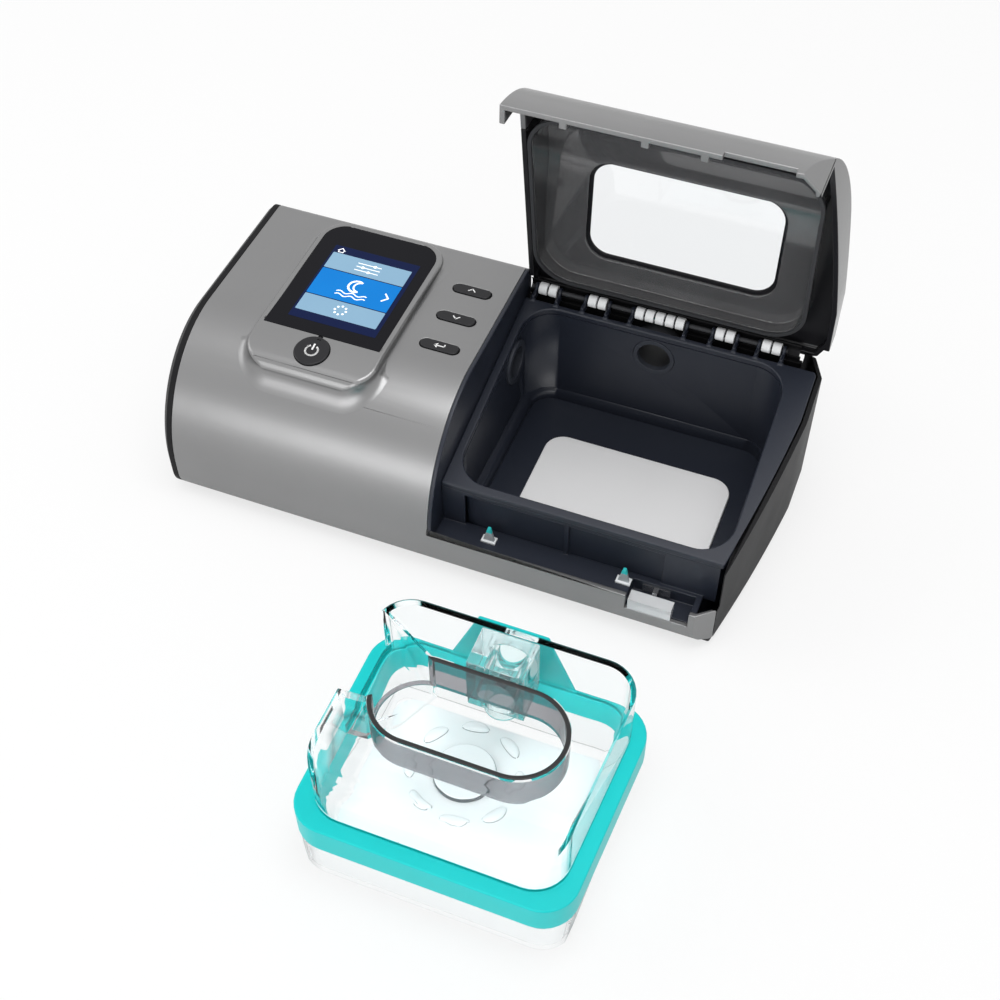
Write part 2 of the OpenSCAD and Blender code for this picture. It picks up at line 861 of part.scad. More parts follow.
module dc_jack() {
    y0 = board_y + board_t;
    y1 = y_back - wall - part_gap;
    color(black)
        difference() {
            union() {
                translate([jack_x - jack_w / 2, y0, jack_z - jack_w / 2])
                    cube([jack_w, y1 - y0, jack_w]);
                translate([jack_x - jack_w / 2 + 2 + part_gap, y1 - eps,
                           jack_z - jack_w / 2 + 2 + part_gap])
                    cube([jack_w - 4 - 2 * part_gap, wall + part_gap, jack_w - 4 - 2 * part_gap]);
            }
            translate([jack_x, y_back - jack_l, jack_z])
                rotate([-90, 0, 0])
                    cylinder(d = jack_bore_d, h = jack_l + 1);
        }
}

module card_slot_cover() {
    color(rubber_grey)
        translate([card_x + part_gap, y_back - wall - 0.5, card_z + part_gap])
            cube([card_w - 2 * part_gap, wall, card_h - 2 * part_gap]);
}

// ---------- Blower ----------

module at_blower(z) {
    translate([blower_x, blower_y, z])
        children();
}

// Lower half of the blower with its outlet tube
module blower_housing() {
    tube_y = side_port_yy - blower_y;
    color(white)
        difference() {
            union() {
                at_blower(blower_z)
                    cylinder(d = blower_d, h = blower_h - blower_wall);
                at_blower(blower_z + blower_h / 2)
                    translate([0, tube_y, 0])
                        rotate([0, 90, 0])
                            cylinder(d = outlet_d, h = tube_end - blower_x);
            }
            at_blower(blower_z + blower_wall)
                cylinder(d = blower_d - 2 * blower_wall, h = blower_h);
            at_blower(blower_z + blower_h / 2)
                translate([6, tube_y, 0])
                    rotate([0, 90, 0])
                        cylinder(d = outlet_d - 2 * blower_wall, h = tube_end - blower_x);
            at_blower(blower_z - 1)
                cylinder(d = bearing_d + 2, h = 5);
            at_blower(blower_z + blower_h - blower_wall)
                cylinder(d = blower_d + 10, h = 5);
        }
}

// Upper half with the round air intake
module blower_cover() {
    color(white)
        at_blower(blower_z + blower_h - blower_wall)
            difference() {
                cylinder(d = blower_d, h = blower_wall);
                translate([0, 0, -1])
                    cylinder(d = impeller_d * 0.5, h = blower_wall + 2);
            }
}

// Impeller with its blades and hub
module impeller() {
    z0 = blower_z + blower_wall + 2;
    h = blower_h - 2 * blower_wall - 4;
    color(silver)
        at_blower(z0)
            difference() {
                union() {
                    cylinder(d = impeller_d, h = 1.6);
                    cylinder(d = 12, h = h);
                    for (i = [0:blade_count - 1])
                        rotate([0, 0, i * 360 / blade_count])
                            translate([impeller_d * 0.3, 0, 1.5])
                                rotate([0, 0, 50])
                                    translate([-6.5, -0.5, 0])
                                        cube([13, 1, h - 2.5]);
                }
                translate([0, 0, -1])
                    cylinder(d = shaft_d, h = h + 2);
            }
}

module blower_shaft() {
    z0 = blower_z - motor_h + 1;
    z1 = blower_z + blower_h - blower_wall - 2.5;
    color(steel)
        at_blower(z0)
            cylinder(d = shaft_d, h = z1 - z0);
}

module shaft_bearings() {
    color(steel)
        for (z = [blower_z - motor_h + 2, blower_z - bearing_w - 1])
            at_blower(z)
                tube(bearing_d, shaft_d + 2 * shaft_gap, bearing_w);
}

// Motor under the blower, with a seat for each bearing
module blower_motor() {
    color(smoke)
        at_blower(blower_z - motor_h)
            difference() {
                cylinder(d = motor_d, h = motor_h);
                translate([0, 0, 2])
                    cylinder(d = bearing_d, h = motor_h);
                translate([0, 0, -1])
                    cylinder(d = shaft_d + 2, h = motor_h);
            }
}

// Four soft posts that carry the blower
module blower_mounts() {
    z0 = z_base + base_t;
    color(rubber_grey)
        for (a = [45:90:315])
            translate([blower_x + blower_d * 0.4 * cos(a), blower_y + blower_d * 0.4 * sin(a), z0])
                cylinder(d = 8, h = blower_z - z0);
}

// Ribbed rubber sleeve from the blower to the bay
module outlet_duct() {
    x0 = tube_end - 7;
    len = x_split - x0 - part_gap;
    color(rubber_grey)
        translate([x0, side_port_yy, side_port_z])
            rotate([0, 90, 0])
                difference() {
                    union() {
                        cylinder(d = outlet_d + 4, h = len);
                        for (i = [0:2])
                            translate([0, 0, 9 + i * 4])
                                cylinder(d = outlet_d + 7, h = 1.8);
                    }
                    translate([0, 0, -1])
                        cylinder(d = outlet_d + 0.1, h = len + 2);
                }
}

// Foam block that quiets the intake
module muffler_foam() {
    color([0.35, 0.35, 0.37])
        intersection() {
            translate([x_silver + 1, y_front + 12, z_base + base_t + 4.7])
                cube([24, 90, 48]);
            along_x(x_silver, x_split)
                polygon(side_outline(wall + 1, 0));
        }
}

module air_filter() {
    color(white)
        translate([filter_x - filter_s / 2, y_back - wall - 4.1, filter_z - filter_s / 2])
            cube([filter_s, 4, filter_s]);
}

// Slotted cover over the intake filter
module filter_cover() {
    s = filter_s + 4 - 2 * part_gap;
    color(black)
        difference() {
            translate([filter_x - s / 2, y_back - wall + 0.2, filter_z - s / 2])
                cube([s, wall - 0.2, s]);
            for (i = [-3:3])
                translate([filter_x - s / 2 + 4, y_back - wall - 1, filter_z + i * 3.8 - 0.8])
                    cube([s - 8, wall + 2, 1.6]);
        }
}

// ---------- Water bay ----------

// Dark tub of the bay: walls and floor, up to the underside of the deck
module bay_tub() {
    floor_t = 3;
    color(navy)
        difference() {
            intersection() {
                union() {
                    translate([bay_x, bay_y, 0])
                        rounded_block(bay_w + 2 * bay_wall, bay_d + 2 * bay_wall, bay_r + bay_wall,
                            bay_floor_z - floor_t, body_h);
                    // sleeve of the side port
                    translate([x_deck, side_port_yy, side_port_z])
                        rotate([0, 90, 0])
                            cylinder(d = side_port_d + 2 * sleeve_wall, h = bay_side);
                }
                below_deck();
            }
            bay_space();
            translate([bay_x, bay_y, 0])
                rounded_block(bay_w - 8, bay_d - 1.2, bay_r - 4, bay_floor_z, bay_floor_z + 8);
            translate([heater_x, heater_y, 0])
                rounded_block(heater_w + 2 * part_gap, heater_d + 2 * part_gap, heater_r,
                    0, bay_floor_z + 1);
            side_port_hole();
            translate([hose_x, bay_y + bay_d / 2 - 1, hose_z])
                rotate([-90, 0, 0])
                    cylinder(r = port_r + 1.5 + part_gap, h = bay_wall + 2);
        }
}

// Everything below the underside of the deck
module below_deck() {
    along_x(x_split, x_right)
        polygon([[y_front, 0], [y_back, 0], [y_back, deck_z(y_back) - deck_t],
                 [y_front, deck_z(y_front) - deck_t]]);
}

module bay_space() {
    translate([bay_x, bay_y, 0])
        rounded_block(bay_w, bay_d, bay_r, bay_floor_z + 7, body_h + 20);
}

module side_port_hole() {
    translate([x_split - 1, side_port_yy, side_port_z])
        rotate([0, 90, 0])
            cylinder(d = side_port_d, h = bay_side + 8);
}

// Sloping deck round the bay, following the plan of the right end, with the fixed knuckles
module bay_deck() {
    color(navy)
        difference() {
            union() {
                intersection() {
                    linear_extrude(body_h + 10)
                        polygon(top_outline(x_deck, wall + part_gap));
                    along_x(x_split, x_right)
                        polygon([[deck_y, deck_z(deck_y)], [deck_y1, deck_z(deck_y1)],
                                 [deck_y1, deck_z(deck_y1) - deck_t],
                                 [deck_y, deck_z(deck_y) - deck_t]]);
                }
                hinge_knuckles();
            }
            bay_space();
            hinge_bore(rod_d);
        }
}

// Face in front of the bay with two shallow recesses, and the trough at its foot
module bay_trough() {
    recess_h = deck_front_z - trough_z - 5;
    color(navy)
        difference() {
            union() {
                intersection() {
                    translate([x_deck, trough_face, trough_z - 2])
                        cube([bay_w + 3.5, trough_back - trough_face, deck_front_z]);
                    below_deck();
                }
                translate([x_deck, y_front + wall + part_gap, trough_z - 2])
                    cube([x_chamfer - chamfer_w - x_deck,
                          trough_back - y_front - wall - part_gap, 2]);
                // shelf under the latch button
                translate([latch_pocket_x - latch_pocket / 2 - 1.5, y_front + wall + part_gap,
                           latch_floor_z - 2])
                    cube([latch_pocket + 3, trough_back - y_front - wall - part_gap,
                          trough_z - latch_floor_z + 1]);
            }
            translate([bay_x0 + 6.5, trough_face - 1, trough_z])
                cube([44.5, 5, recess_h]);
            translate([bay_x0 + 53, trough_face - 1, trough_z])
                cube([41, 5, recess_h]);
            latch_cut();
        }
}

// Wall between the silver shell and the bay
module bay_divider() {
    y0 = y_front + wall + 0.4;
    color(navy)
        difference() {
            along_x(x_split, x_deck)
                union() {
                    intersection() {
                        polygon(side_outline(0, 0));
                        translate([y_front - 1, band_h + part_gap])
                            square([body_d + 2, body_h]);
                    }
                    polygon([[y0 + foot_in(divider_z), divider_z], [y0, z_shell + belly_h],
                             [y0, band_h + 1], [y_back, band_h + 1], [y_back, divider_z]]);
                }
            side_port_hole();
        }
}

module hinge_bore(d) {
    translate([x_deck - 5, hinge_y, hinge_z])
        rotate([0, 90, 0])
            cylinder(d = d, h = body_l / 2 + 5);
}

module latch_cut() {
    translate([latch_pocket_x - latch_pocket / 2, y_front, latch_floor_z])
        cube([latch_pocket, 11.5, 30]);
}

// Fixed arms on either side of each group of the lid's knuckles
module hinge_knuckles() {
    for (g = knuckle_groups)
        for (s = [-1, 1]) {
            x0 = g[0] + s * (g[1] * knuckle_pitch / 2 + knuckle_arm / 2 + 0.1) - knuckle_arm / 2;
            translate([x0, hinge_y, hinge_z])
                rotate([0, 90, 0])
                    cylinder(r = knuckle_r - 0.6, h = knuckle_arm);
            translate([x0, deck_y1 - 1, hinge_z - knuckle_t])
                cube([knuckle_arm, hinge_y - deck_y1 + 1, knuckle_t]);
        }
}

// Pale plate that warms the tank
module heater_plate() {
    color(white)
        translate([heater_x, heater_y, 0])
            rounded_block(heater_w, heater_d, heater_r, bay_floor_z - heater_t / 2 - 1,
                bay_floor_z + heater_t / 2);
}

module heater_pad() {
    z1 = bay_floor_z - heater_t / 2 - 1;
    color([0.8, 0.45, 0.1])
        translate([heater_x, heater_y, 0])
            rounded_block(heater_w - 10, heater_d - 10, heater_r - 5, z1 - 0.6, z1);
}

// Soft posts that press the heater plate up
module heater_posts() {
    z0 = z_base + base_t + 0.8;
    z1 = bay_floor_z - heater_t / 2 - 1.6;
    color(rubber_grey)
        for (i = [0:3])
            translate([heater_x + (i % 2 == 0 ? -1 : 1) * heater_w * 0.36,
                       heater_y + (i < 2 ? -1 : 1) * heater_d * 0.3, z0])
                cylinder(d = 6, h = z1 - z0);
}

// Rubber ring in the side port that meets the tank
module side_port_seal() {
    color(rubber_grey)
        translate([x_deck + 0.6, side_port_yy, side_port_z])
            rotate([0, 90, 0])
                tube(side_port_d - 2 * part_gap, outlet_d - 1, bay_side + 0.6);
}

// Hose connector: a plain tube from the bay's back wall through the rear panel
module hose_connector() {
    y0 = bay_y + bay_d / 2 + bay_wall + part_gap;
    color(rubber_grey)
        translate([hose_x, y0, hose_z])
            rotate([-90, 0, 0])
                difference() {
                    union() {
                        cylinder(d = hose_d, h = y_back + hose_l - y0);
                        cylinder(d = flange_d, h = y_back + 2 * part_gap - y0);
                    }
                    translate([0, 0, -1])
                        cylinder(d = hose_d - 2 * hose_wall, h = 60);
                }
}

// Soft nozzle of the rear port that meets the tank's outlet
module hose_seal() {
    y0 = bay_y + bay_d / 2 - nozzle_out;
    color(navy)
        translate([hose_x, y0, hose_z])
            rotate([-90, 0, 0])
                tube(2 * port_r + 3, 2 * port_r - 1, nozzle_out + bay_wall);
}

// Two upright hooks in the trough that hold the closed lid
module lid_catches() {
    color(white)
        for (x = hook_xs) {
            translate([x - 2.2, y_front + 6.6, trough_z])
                cube([4.4, 3.8, 1]);
            translate([x - 0.9, 0, 0])
                along_x(0, 1.8)
                    polygon([[y_front + 6.8, trough_z + 0.9], [y_front + 10.2, trough_z + 0.9],
                             [y_front + 10.2, trough_z + 8], [y_front + 9, trough_z + 8]]);
        }
}

// Clear latch button in the pocket of the front band
module latch_button() {
    color(clear)
        translate([latch_x - latch_l / 2, y_front + 0.4, latch_floor_z + part_gap])
            cube([latch_l, latch_d, latch_h - part_gap]);
}

// Leaf spring behind the latch button
module latch_spring() {
    x0 = latch_x - 6;
    y1 = y_front + 11.5 - part_gap;
    y_tip = y_front + 0.4 + latch_d + latch_travel + 0.3;
    color(steel)
        translate([x0, y1 - 0.4, latch_floor_z + 1]) {
            cube([12, 0.4, 4]);
            translate([5, y_tip - y1 + 0.4, 0])
                cube([2, y1 - 0.3 - y_tip, 4]);
        }
}

module hinge_rod() {
    color(steel)
        translate([x_deck + 1.4, hinge_y, hinge_z])
            rotate([0, 90, 0])
                cylinder(d = rod_d, h = 117);
}

// ---------- Lid ----------

// Everything that belongs to the closed lid's shell
module lid_body() {
    difference() {
        intersection() {
            translate([0, 0, band_h + lid_gap])
                linear_extrude(body_h)
                    polygon(top_outline(lid_x0, 0));
            along_x(lid_x0, x_right + 1)
                polygon(side_outline(0, 0));
            lid_side_cut();
        }
        intersection() {
            linear_extrude(body_h)
                polygon(top_outline(lid_x0 + wall, wall));
            along_x(lid_x0 + wall, x_right)
                polygon(side_outline(wall, 0));
        }
    }
}

// Side view of the space above the deck that the lid fills
module lid_side_cut() {
    y_rear = deck_y1 - 1.5;
    along_x(lid_x0 - 1, x_right + 1)
        polygon([[y_front - 1, band_h + lid_gap], [lid_step_y, band_h + lid_gap],
                 [lid_step_y, deck_z(lid_step_y) + lid_gap], [y_rear, deck_z(y_rear) + lid_gap],
                 [y_rear, hinge_z + 3.4], [y_back + 1, hinge_z + 3.4],
                 [y_back + 1, body_h + 1], [y_front - 1, body_h + 1]]);
}

// Region of the silver trim: the front curve up to the chamfered right corner
module trim_region(grow) {
    translate([lid_x0 - 1, y_front - 1, 0])
        linear_extrude(body_h + 2)
            polygon([[0, 0], [x_chamfer - lid_x0 + 1 + grow, 0],
                     [x_chamfer - lid_x0 + 1 + grow, chamfer_d + 1 + grow],
                     [x_chamfer - chamfer_w - lid_x0 + 1 + grow, trim_back + 1 + grow],
                     [0, trim_back + 1 + grow]]);
}

module lid_shell() {
    color(smoke)
        opened()
            difference() {
                lid_body();
                trim_region(part_gap);
                translate([window_x, window_y, 0])
                    rounded_block(window_w, window_d, window_r, 0, body_h + 1);
                translate([window_x, window_y, 0])
                    rounded_block(window_w + 2 * (window_ledge + part_gap),
                        window_d + 2 * (window_ledge + part_gap), window_r + window_ledge,
                        body_h - window_t, body_h + 1);
            }
}

// Silver trim along the lid's front edge, with its tabs and finger notch
module lid_trim() {
    color(silver)
        opened() {
            difference() {
                intersection() {
                    lid_body();
                    trim_region(0);
                }
                // finger notch above the latch
                translate([latch_pocket_x - latch_pocket / 2, y_front - 1, band_h - 1])
                    cube([latch_pocket, wall + 3, 4.5]);
            }
            for (x = tab_xs)
                translate([x - 1.5, y_front + wall - 0.1, band_h + lid_gap])
                    cube([3, 2.6, 7]);
        }
}

module lid_window() {
    color(clear)
        opened()
            translate([window_x, window_y, 0])
                rounded_block(window_w + 2 * window_ledge, window_d + 2 * window_ledge,
                    window_r + window_ledge, body_h - window_t, body_h);
}

// Glossy inner liner that frames the tank under the window
module lid_liner() {
    cx = liner_x0 + liner_w / 2;
    cy = liner_y0 + liner_d / 2;
    top = body_h - wall - part_gap;
    color(smoke)
        opened()
            difference() {
                intersection() {
                    translate([cx, cy, 0])
                        rounded_block(liner_w, liner_d, liner_r, 20, top);
                    along_x(lid_x0, x_right)
                        polygon(side_outline(wall + part_gap, 0));
                    above_deck(lid_gap + 1.6);
                }
                intersection() {
                    translate([cx, cy, 0])
                        rounded_block(liner_w - 2 * liner_wall, liner_d - 2 * liner_wall,
                            liner_r - liner_wall, 19, top - liner_wall);
                    along_x(lid_x0, x_right)
                        polygon(side_outline(wall + part_gap + liner_wall, 0));
                }
                translate([window_x, window_y, 0])
                    rounded_block(window_w + 3, window_d + 3, window_r + 1, 19, top + 1);
            }
}

// Soft gasket under the liner's edge
module lid_seal() {
    cx = liner_x0 + liner_w / 2;
    cy = liner_y0 + liner_d / 2;
    color(rubber_grey)
        opened()
            difference() {
                intersection() {
                    translate([cx, cy, 0])
                        rounded_block(liner_w, liner_d, liner_r, 20, body_h);
                    above_deck(lid_gap);
                }
                translate([cx, cy, 0])
                    rounded_block(liner_w - 2 * liner_wall, liner_d - 2 * liner_wall,
                        liner_r - liner_wall, 19, body_h + 1);
                above_deck(lid_gap + 1.6);
            }
}

// White hinge strip of the lid with its knuckles
module lid_hinge() {
    color(white)
        opened()
            difference() {
                union() {
                    for (g = knuckle_groups)
                        for (i = [0:g[1] - 1])
                            translate([g[0] + (i - (g[1] - 1) / 2) * knuckle_pitch - knuckle_w / 2,
                                       hinge_y, hinge_z])
                                rotate([0, 90, 0])
                                    cylinder(r = knuckle_r, h = knuckle_w);
                    for (g = knuckle_groups)
                        translate([g[0] - g[1] * knuckle_pitch / 2 + 0.5, hinge_y, hinge_z + 1.2])
                            cube([g[1] * knuckle_pitch - 1, y_back - hinge_y,
                                  2.2]);
                }
                hinge_bore(rod_d + 2 * rod_gap);
            }
}

// ---------- Water tank ----------

module at_tank() {
    translate([tank_x, tank_y, 0])
        children();
}

// Plan of the tank: round corners, its right side drawn in towards the front
function tank_plan(x0, x1, y0, y1, r, n = 8) =
    let (c = [[x1, y1, 1, 1], [x0, y1, -1, 1], [x0, y0, -1, -1], [x1 - tank_narrow, y0, 1, -1]])
    [for (k = [0:3]) for (i = [0:n])
        let (a = 90 * k + 90 * i / n)
        [c[k][0] - c[k][2] * r + r * cos(a), c[k][1] - c[k][3] * r + r * sin(a)]];

function band_plan(inset) =
    tank_plan(band_x0 + inset, band_x1 - inset, band_y0 + inset, band_y1 - inset, tank_r - inset);

function cover_plan(inset) =
    tank_plan(band_x0 + ledge_side + inset, band_x1 - ledge_side - inset, cover_y0 + inset,
        cover_y1 - inset, tank_r - inset);

module tank_slab(points, z0, z1) {
    translate([0, 0, z0])
        linear_extrude(z1 - z0)
            polygon(points);
}

// Extrudes a front outline (x, z) through the whole depth of the tank
module along_tank(points) {
    translate([0, band_y1 + 1, 0])
        rotate([90, 0, 0])
            linear_extrude(tank_d + 2)
                polygon(points);
}

// Outer form of the tray, drawn in at its sides and back towards the floor
module tray_form(inset, z0) {
    w = tank_w / 2 - 2.4 - inset;
    intersection() {
        tank_slab(band_plan(0.6 + inset), z0, band_z);
        along_tank([[-w + tray_draft, z0], [w - tray_draft, z0], [w, band_z], [-w, band_z]]);
        along_x(-tank_w, tank_w)
            polygon([[band_y0, z0], [band_y1 - tray_draft - inset, z0],
                     [band_y1 - 1 - inset, band_z], [band_y0, band_z]]);
    }
}

// Clear tray under the band, open at the bottom where the plate sits
module tank_tray() {
    color(clear)
        at_tank()
            difference() {
                tray_form(0, 0);
                translate([0, 0, eps])
                    tray_form(tank_wall, plate_t);
                tank_slab(band_plan(plate_inset), -1, plate_t + 1);
            }
}

// Bottom plate with a raised boss and a ring of pressed beads
module tank_plate() {
    bead_x = -9;
    bead_y = 12;
    bead_ring = 21.8;
    bead_w = 4.4;
    color(white)
        at_tank() {
            tank_slab(band_plan(plate_inset + part_gap), 0, plate_t);
            translate([bead_x, bead_y, plate_t - eps]) {
                cylinder(d = 25, h = 2.5);
                for (i = [0:bead_count - 1])
                    rotate([0, 0, i * 360 / bead_count - 4])
                        rotate_extrude(angle = 28)
                            translate([bead_ring - bead_w / 2, 0])
                                square([bead_w, 1]);
            }
        }
}

// Teal band that seals the cover to the tray, with a tongue that rises round the outlet
module tank_band() {
    color(teal)
        at_tank()
            difference() {
                union() {
                    tank_slab(band_plan(0), band_z, cover_z);
                    translate([port_offset, band_y1, 0])
                        rotate([90, 0, 0])
                            linear_extrude(tongue_t)
                                polygon([[-tongue_foot / 2, cover_z - 1], [tongue_foot / 2, cover_z - 1],
                                         [tongue_top / 2, tank_top], [-tongue_top / 2, tank_top]]);
                }
                tank_slab(cover_plan(tank_wall), band_z - 1, cover_z + 1);
                translate([port_offset, band_y1 + 1, outlet_z])
                    rotate([90, 0, 0])
                        cylinder(r = port_r, h = 6);
            }
}

// Side outline of the cover: square behind, rounded in front
function cover_side(inset) = concat(
    [[cover_y0 + inset, cover_z - 5]],
    [for (i = [0:12]) let (a = 180 - 90 * i / 12, r = cover_r - inset)
        [cover_y0 + inset + r + r * cos(a), tank_top - inset - r + r * sin(a)]],
    [[cover_y1 - inset, tank_top - inset], [cover_y1 - inset, cover_z - 5]]);

// Outer form of the cover
module cover_form(inset, z0) {
    intersection() {
        tank_slab(cover_plan(inset), z0, tank_top - inset);
        along_x(-tank_w, tank_w)
            polygon(cover_side(inset));
    }
}

// Clear cover with the air notch at its left, the oval well and the outlet at the back
module tank_cover() {
    color(clear)
        at_tank()
            difference() {
                cover_form(0, cover_z);
                difference() {
                    cover_form(tank_wall, cover_z - 1);
                    tank_slab(notch_plan(tank_wall), notch_z - tank_wall, tank_top);
                }
                // air notch, open to the left and to the oval well
                tank_slab(notch_plan(0), notch_z, tank_top + 1);
                translate([baffle_x, baffle_y, 0])
                    stadium(baffle_l + 2 * part_gap, baffle_w + 2 * part_gap,
                        tank_top - baffle_h - 1, tank_top + 1);
                translate([port_offset, cover_y1 + 1, outlet_z])
                    rotate([90, 0, 0])
                        cylinder(r = port_r, h = tank_wall + 2);
            }
}

// Plan of the air notch: wide at the left wall, narrowing to the oval well
function notch_plan(grow) = [
    [band_x0 - 1, notch_front - grow], [baffle_x - baffle_l / 2, notch_front + 1 - grow],
    [baffle_x - baffle_l / 2 + 9, baffle_y + 2], [baffle_x - baffle_l / 2 + 17, baffle_y + 17 + grow],
    [band_x0 + 7, notch_back + grow], [band_x0 - 1, notch_back + grow]];

// Dark oval baffle that hangs from the cover, with a gap where the notch enters
module tank_baffle() {
    color(smoke)
        at_tank()
            difference() {
                translate([baffle_x, baffle_y, 0])
                    stadium(baffle_l, baffle_w, tank_top - baffle_h, tank_top);
                translate([baffle_x, baffle_y, 0])
                    stadium(baffle_l - 2 * baffle_wall, baffle_w - 2 * baffle_wall,
                        tank_top - baffle_h - 1, tank_top + 1);
                tank_slab(notch_plan(0), notch_z + 9, tank_top + 1);
            }
}

// Outlet block under the back of the cover with its short down tube
module tank_outlet() {
    y1 = cover_y1 - tank_wall - part_gap;
    z0 = outlet_z - port_r - 1.6;
    z1 = tank_top - tank_wall - part_gap;
    yc = y1 - outlet_block_d / 2;
    color(clear)
        at_tank()
            translate([port_offset, 0, 0])
                difference() {
                    union() {
                        translate([-outlet_w / 2, y1 - outlet_block_d, z0])
                            cube([outlet_w, outlet_block_d, z1 - z0]);
                        translate([0, yc, z0 - 7])
                            cylinder(d = outlet_block_d - 1.5, h = 8);
                    }
                    translate([0, y1 - outlet_block_d + 2, outlet_z])
                        rotate([-90, 0, 0])
                            cylinder(r = port_r, h = outlet_block_d);
                    translate([0, yc, z0 - 8])
                        cylinder(d = outlet_block_d - 5, h = outlet_z - z0 + 8);
                }
}

silver_shell();
left_end_cap();
right_end_cap();
base_shell();
rear_panel();
rubber_feet();
base_screws();
display_pod();
display_glass();
lcd_panel();
display_board();
power_button();
up_button();
down_button();
enter_button();
button_board();
main_board();
dc_jack();
blower_housing();
blower_cover();
impeller();
blower_shaft();
shaft_bearings();
blower_motor();
blower_mounts();
outlet_duct();
muffler_foam();
air_filter();
filter_cover();
card_slot_cover();
bay_tub();
bay_deck();
bay_trough();
bay_divider();
heater_plate();
heater_pad();
heater_posts();
side_port_seal();
hose_connector();
hose_seal();
lid_catches();
latch_button();
latch_spring();
hinge_rod();
lid_hinge();
lid_shell();
lid_trim();
lid_window();
lid_liner();
lid_seal();
tank_tray();
tank_plate();
tank_band();
tank_cover();
tank_baffle();
tank_outlet();
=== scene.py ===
from math import atan2, cos, pi, radians, sin

import bmesh
import bpy
from mathutils import Matrix, Vector
from mathutils.bvhtree import BVHTree


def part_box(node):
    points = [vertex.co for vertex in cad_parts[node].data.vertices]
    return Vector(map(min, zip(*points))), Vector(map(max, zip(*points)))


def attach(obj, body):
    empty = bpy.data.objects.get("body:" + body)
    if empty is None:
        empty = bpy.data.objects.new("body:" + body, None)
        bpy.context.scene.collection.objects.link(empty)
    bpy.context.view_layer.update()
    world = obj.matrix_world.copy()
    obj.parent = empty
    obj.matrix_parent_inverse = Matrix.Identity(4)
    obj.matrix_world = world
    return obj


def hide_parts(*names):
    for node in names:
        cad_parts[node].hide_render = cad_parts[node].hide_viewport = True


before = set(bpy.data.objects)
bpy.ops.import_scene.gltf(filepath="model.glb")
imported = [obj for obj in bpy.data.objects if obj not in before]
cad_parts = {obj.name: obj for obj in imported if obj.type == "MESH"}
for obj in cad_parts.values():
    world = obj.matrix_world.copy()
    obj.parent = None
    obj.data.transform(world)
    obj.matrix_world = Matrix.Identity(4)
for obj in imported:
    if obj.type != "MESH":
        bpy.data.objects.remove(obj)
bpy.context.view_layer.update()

mm = 0.001

# ---- Camera ----
# A plain 54 mm lens, high in front of the set and a little to its right,
# so that the tops, the open bay and the tank all show.
view_az, view_el, view_roll = radians(21.83), radians(50.06), radians(-0.55)
camera_x, camera_y, camera_z = 171.56 * mm, -354.14 * mm, 521.28 * mm
lens_length, film_width = 54, 36
back = Vector((sin(view_az) * cos(view_el), -cos(view_az) * cos(view_el), sin(view_el)))
right = Vector((cos(view_az), sin(view_az), 0))
down = (-back).cross(right)
turned_right = right * cos(view_roll) - down * sin(view_roll)
turned_down = right * sin(view_roll) + down * cos(view_roll)
lens = bpy.data.cameras.new("photo_camera")
lens.lens, lens.sensor_width, lens.clip_start = lens_length, film_width, 10 * mm
camera = bpy.data.objects.new("photo_camera", lens)
bpy.context.scene.collection.objects.link(camera)
camera.matrix_world = Matrix((
    (turned_right.x, -turned_down.x, back.x, camera_x),
    (turned_right.y, -turned_down.y, back.y, camera_y),
    (turned_right.z, -turned_down.z, back.z, camera_z),
    (0, 0, 0, 1)))
bpy.context.scene.camera = camera
bpy.context.scene.view_settings.view_transform = "Standard"

# ---- Floor and studio light ----
# A matt white sweep under the set. The camera sees it near white, it keeps the
# shadow, and three large soft lamps light the set at a plain level.
floor_reach, floor_tone = 4, 0.86
floor_glow, floor_mirrored, room_level = 0.72, 0.1, 0.58


def rays_seen(nodes, links):
    """Marks the rays that come straight or through clear parts, and the mirrored ones."""
    path = nodes.new("ShaderNodeLightPath")
    straight = nodes.new("ShaderNodeMath")
    straight.operation = "MAXIMUM"
    links.new(path.outputs["Is Camera Ray"], straight.inputs[0])
    links.new(path.outputs["Is Transmission Ray"], straight.inputs[1])
    return straight.outputs[0], path.outputs["Is Glossy Ray"]


bm = bmesh.new()
bmesh.ops.create_grid(bm, x_segments=1, y_segments=1, size=floor_reach)
floor_mesh = bpy.data.meshes.new("studio_floor")
bm.to_mesh(floor_mesh)
bm.free()
floor = bpy.data.objects.new("studio_floor", floor_mesh)
bpy.context.scene.collection.objects.link(floor)
floor_paint = bpy.data.materials.new("floor_paint")
floor_paint.use_nodes = True
nodes, links = floor_paint.node_tree.nodes, floor_paint.node_tree.links
matt = nodes["Principled BSDF"]
matt.inputs["Base Color"].default_value = (floor_tone, floor_tone, floor_tone, 1)
matt.inputs["Roughness"].default_value = 0.9
matt.inputs["Specular IOR Level"].default_value = 0.1
white_glow = nodes.new("ShaderNodeEmission")
straight, mirrored = rays_seen(nodes, links)
in_gloss = nodes.new("ShaderNodeMath")
in_gloss.operation = "MULTIPLY"
in_gloss.inputs[1].default_value = floor_mirrored
links.new(mirrored, in_gloss.inputs[0])
share = nodes.new("ShaderNodeMath")
share.operation = "MULTIPLY_ADD"
share.inputs[1].default_value = floor_glow
links.new(straight, share.inputs[0])
links.new(in_gloss.outputs[0], share.inputs[2])
floor_mix = nodes.new("ShaderNodeMixShader")
links.new(share.outputs[0], floor_mix.inputs[0])
links.new(matt.outputs[0], floor_mix.inputs[1])
links.new(white_glow.outputs[0], floor_mix.inputs[2])
links.new(floor_mix.outputs[0], nodes["Material Output"].inputs[0])
floor_mesh.materials.append(floor_paint)

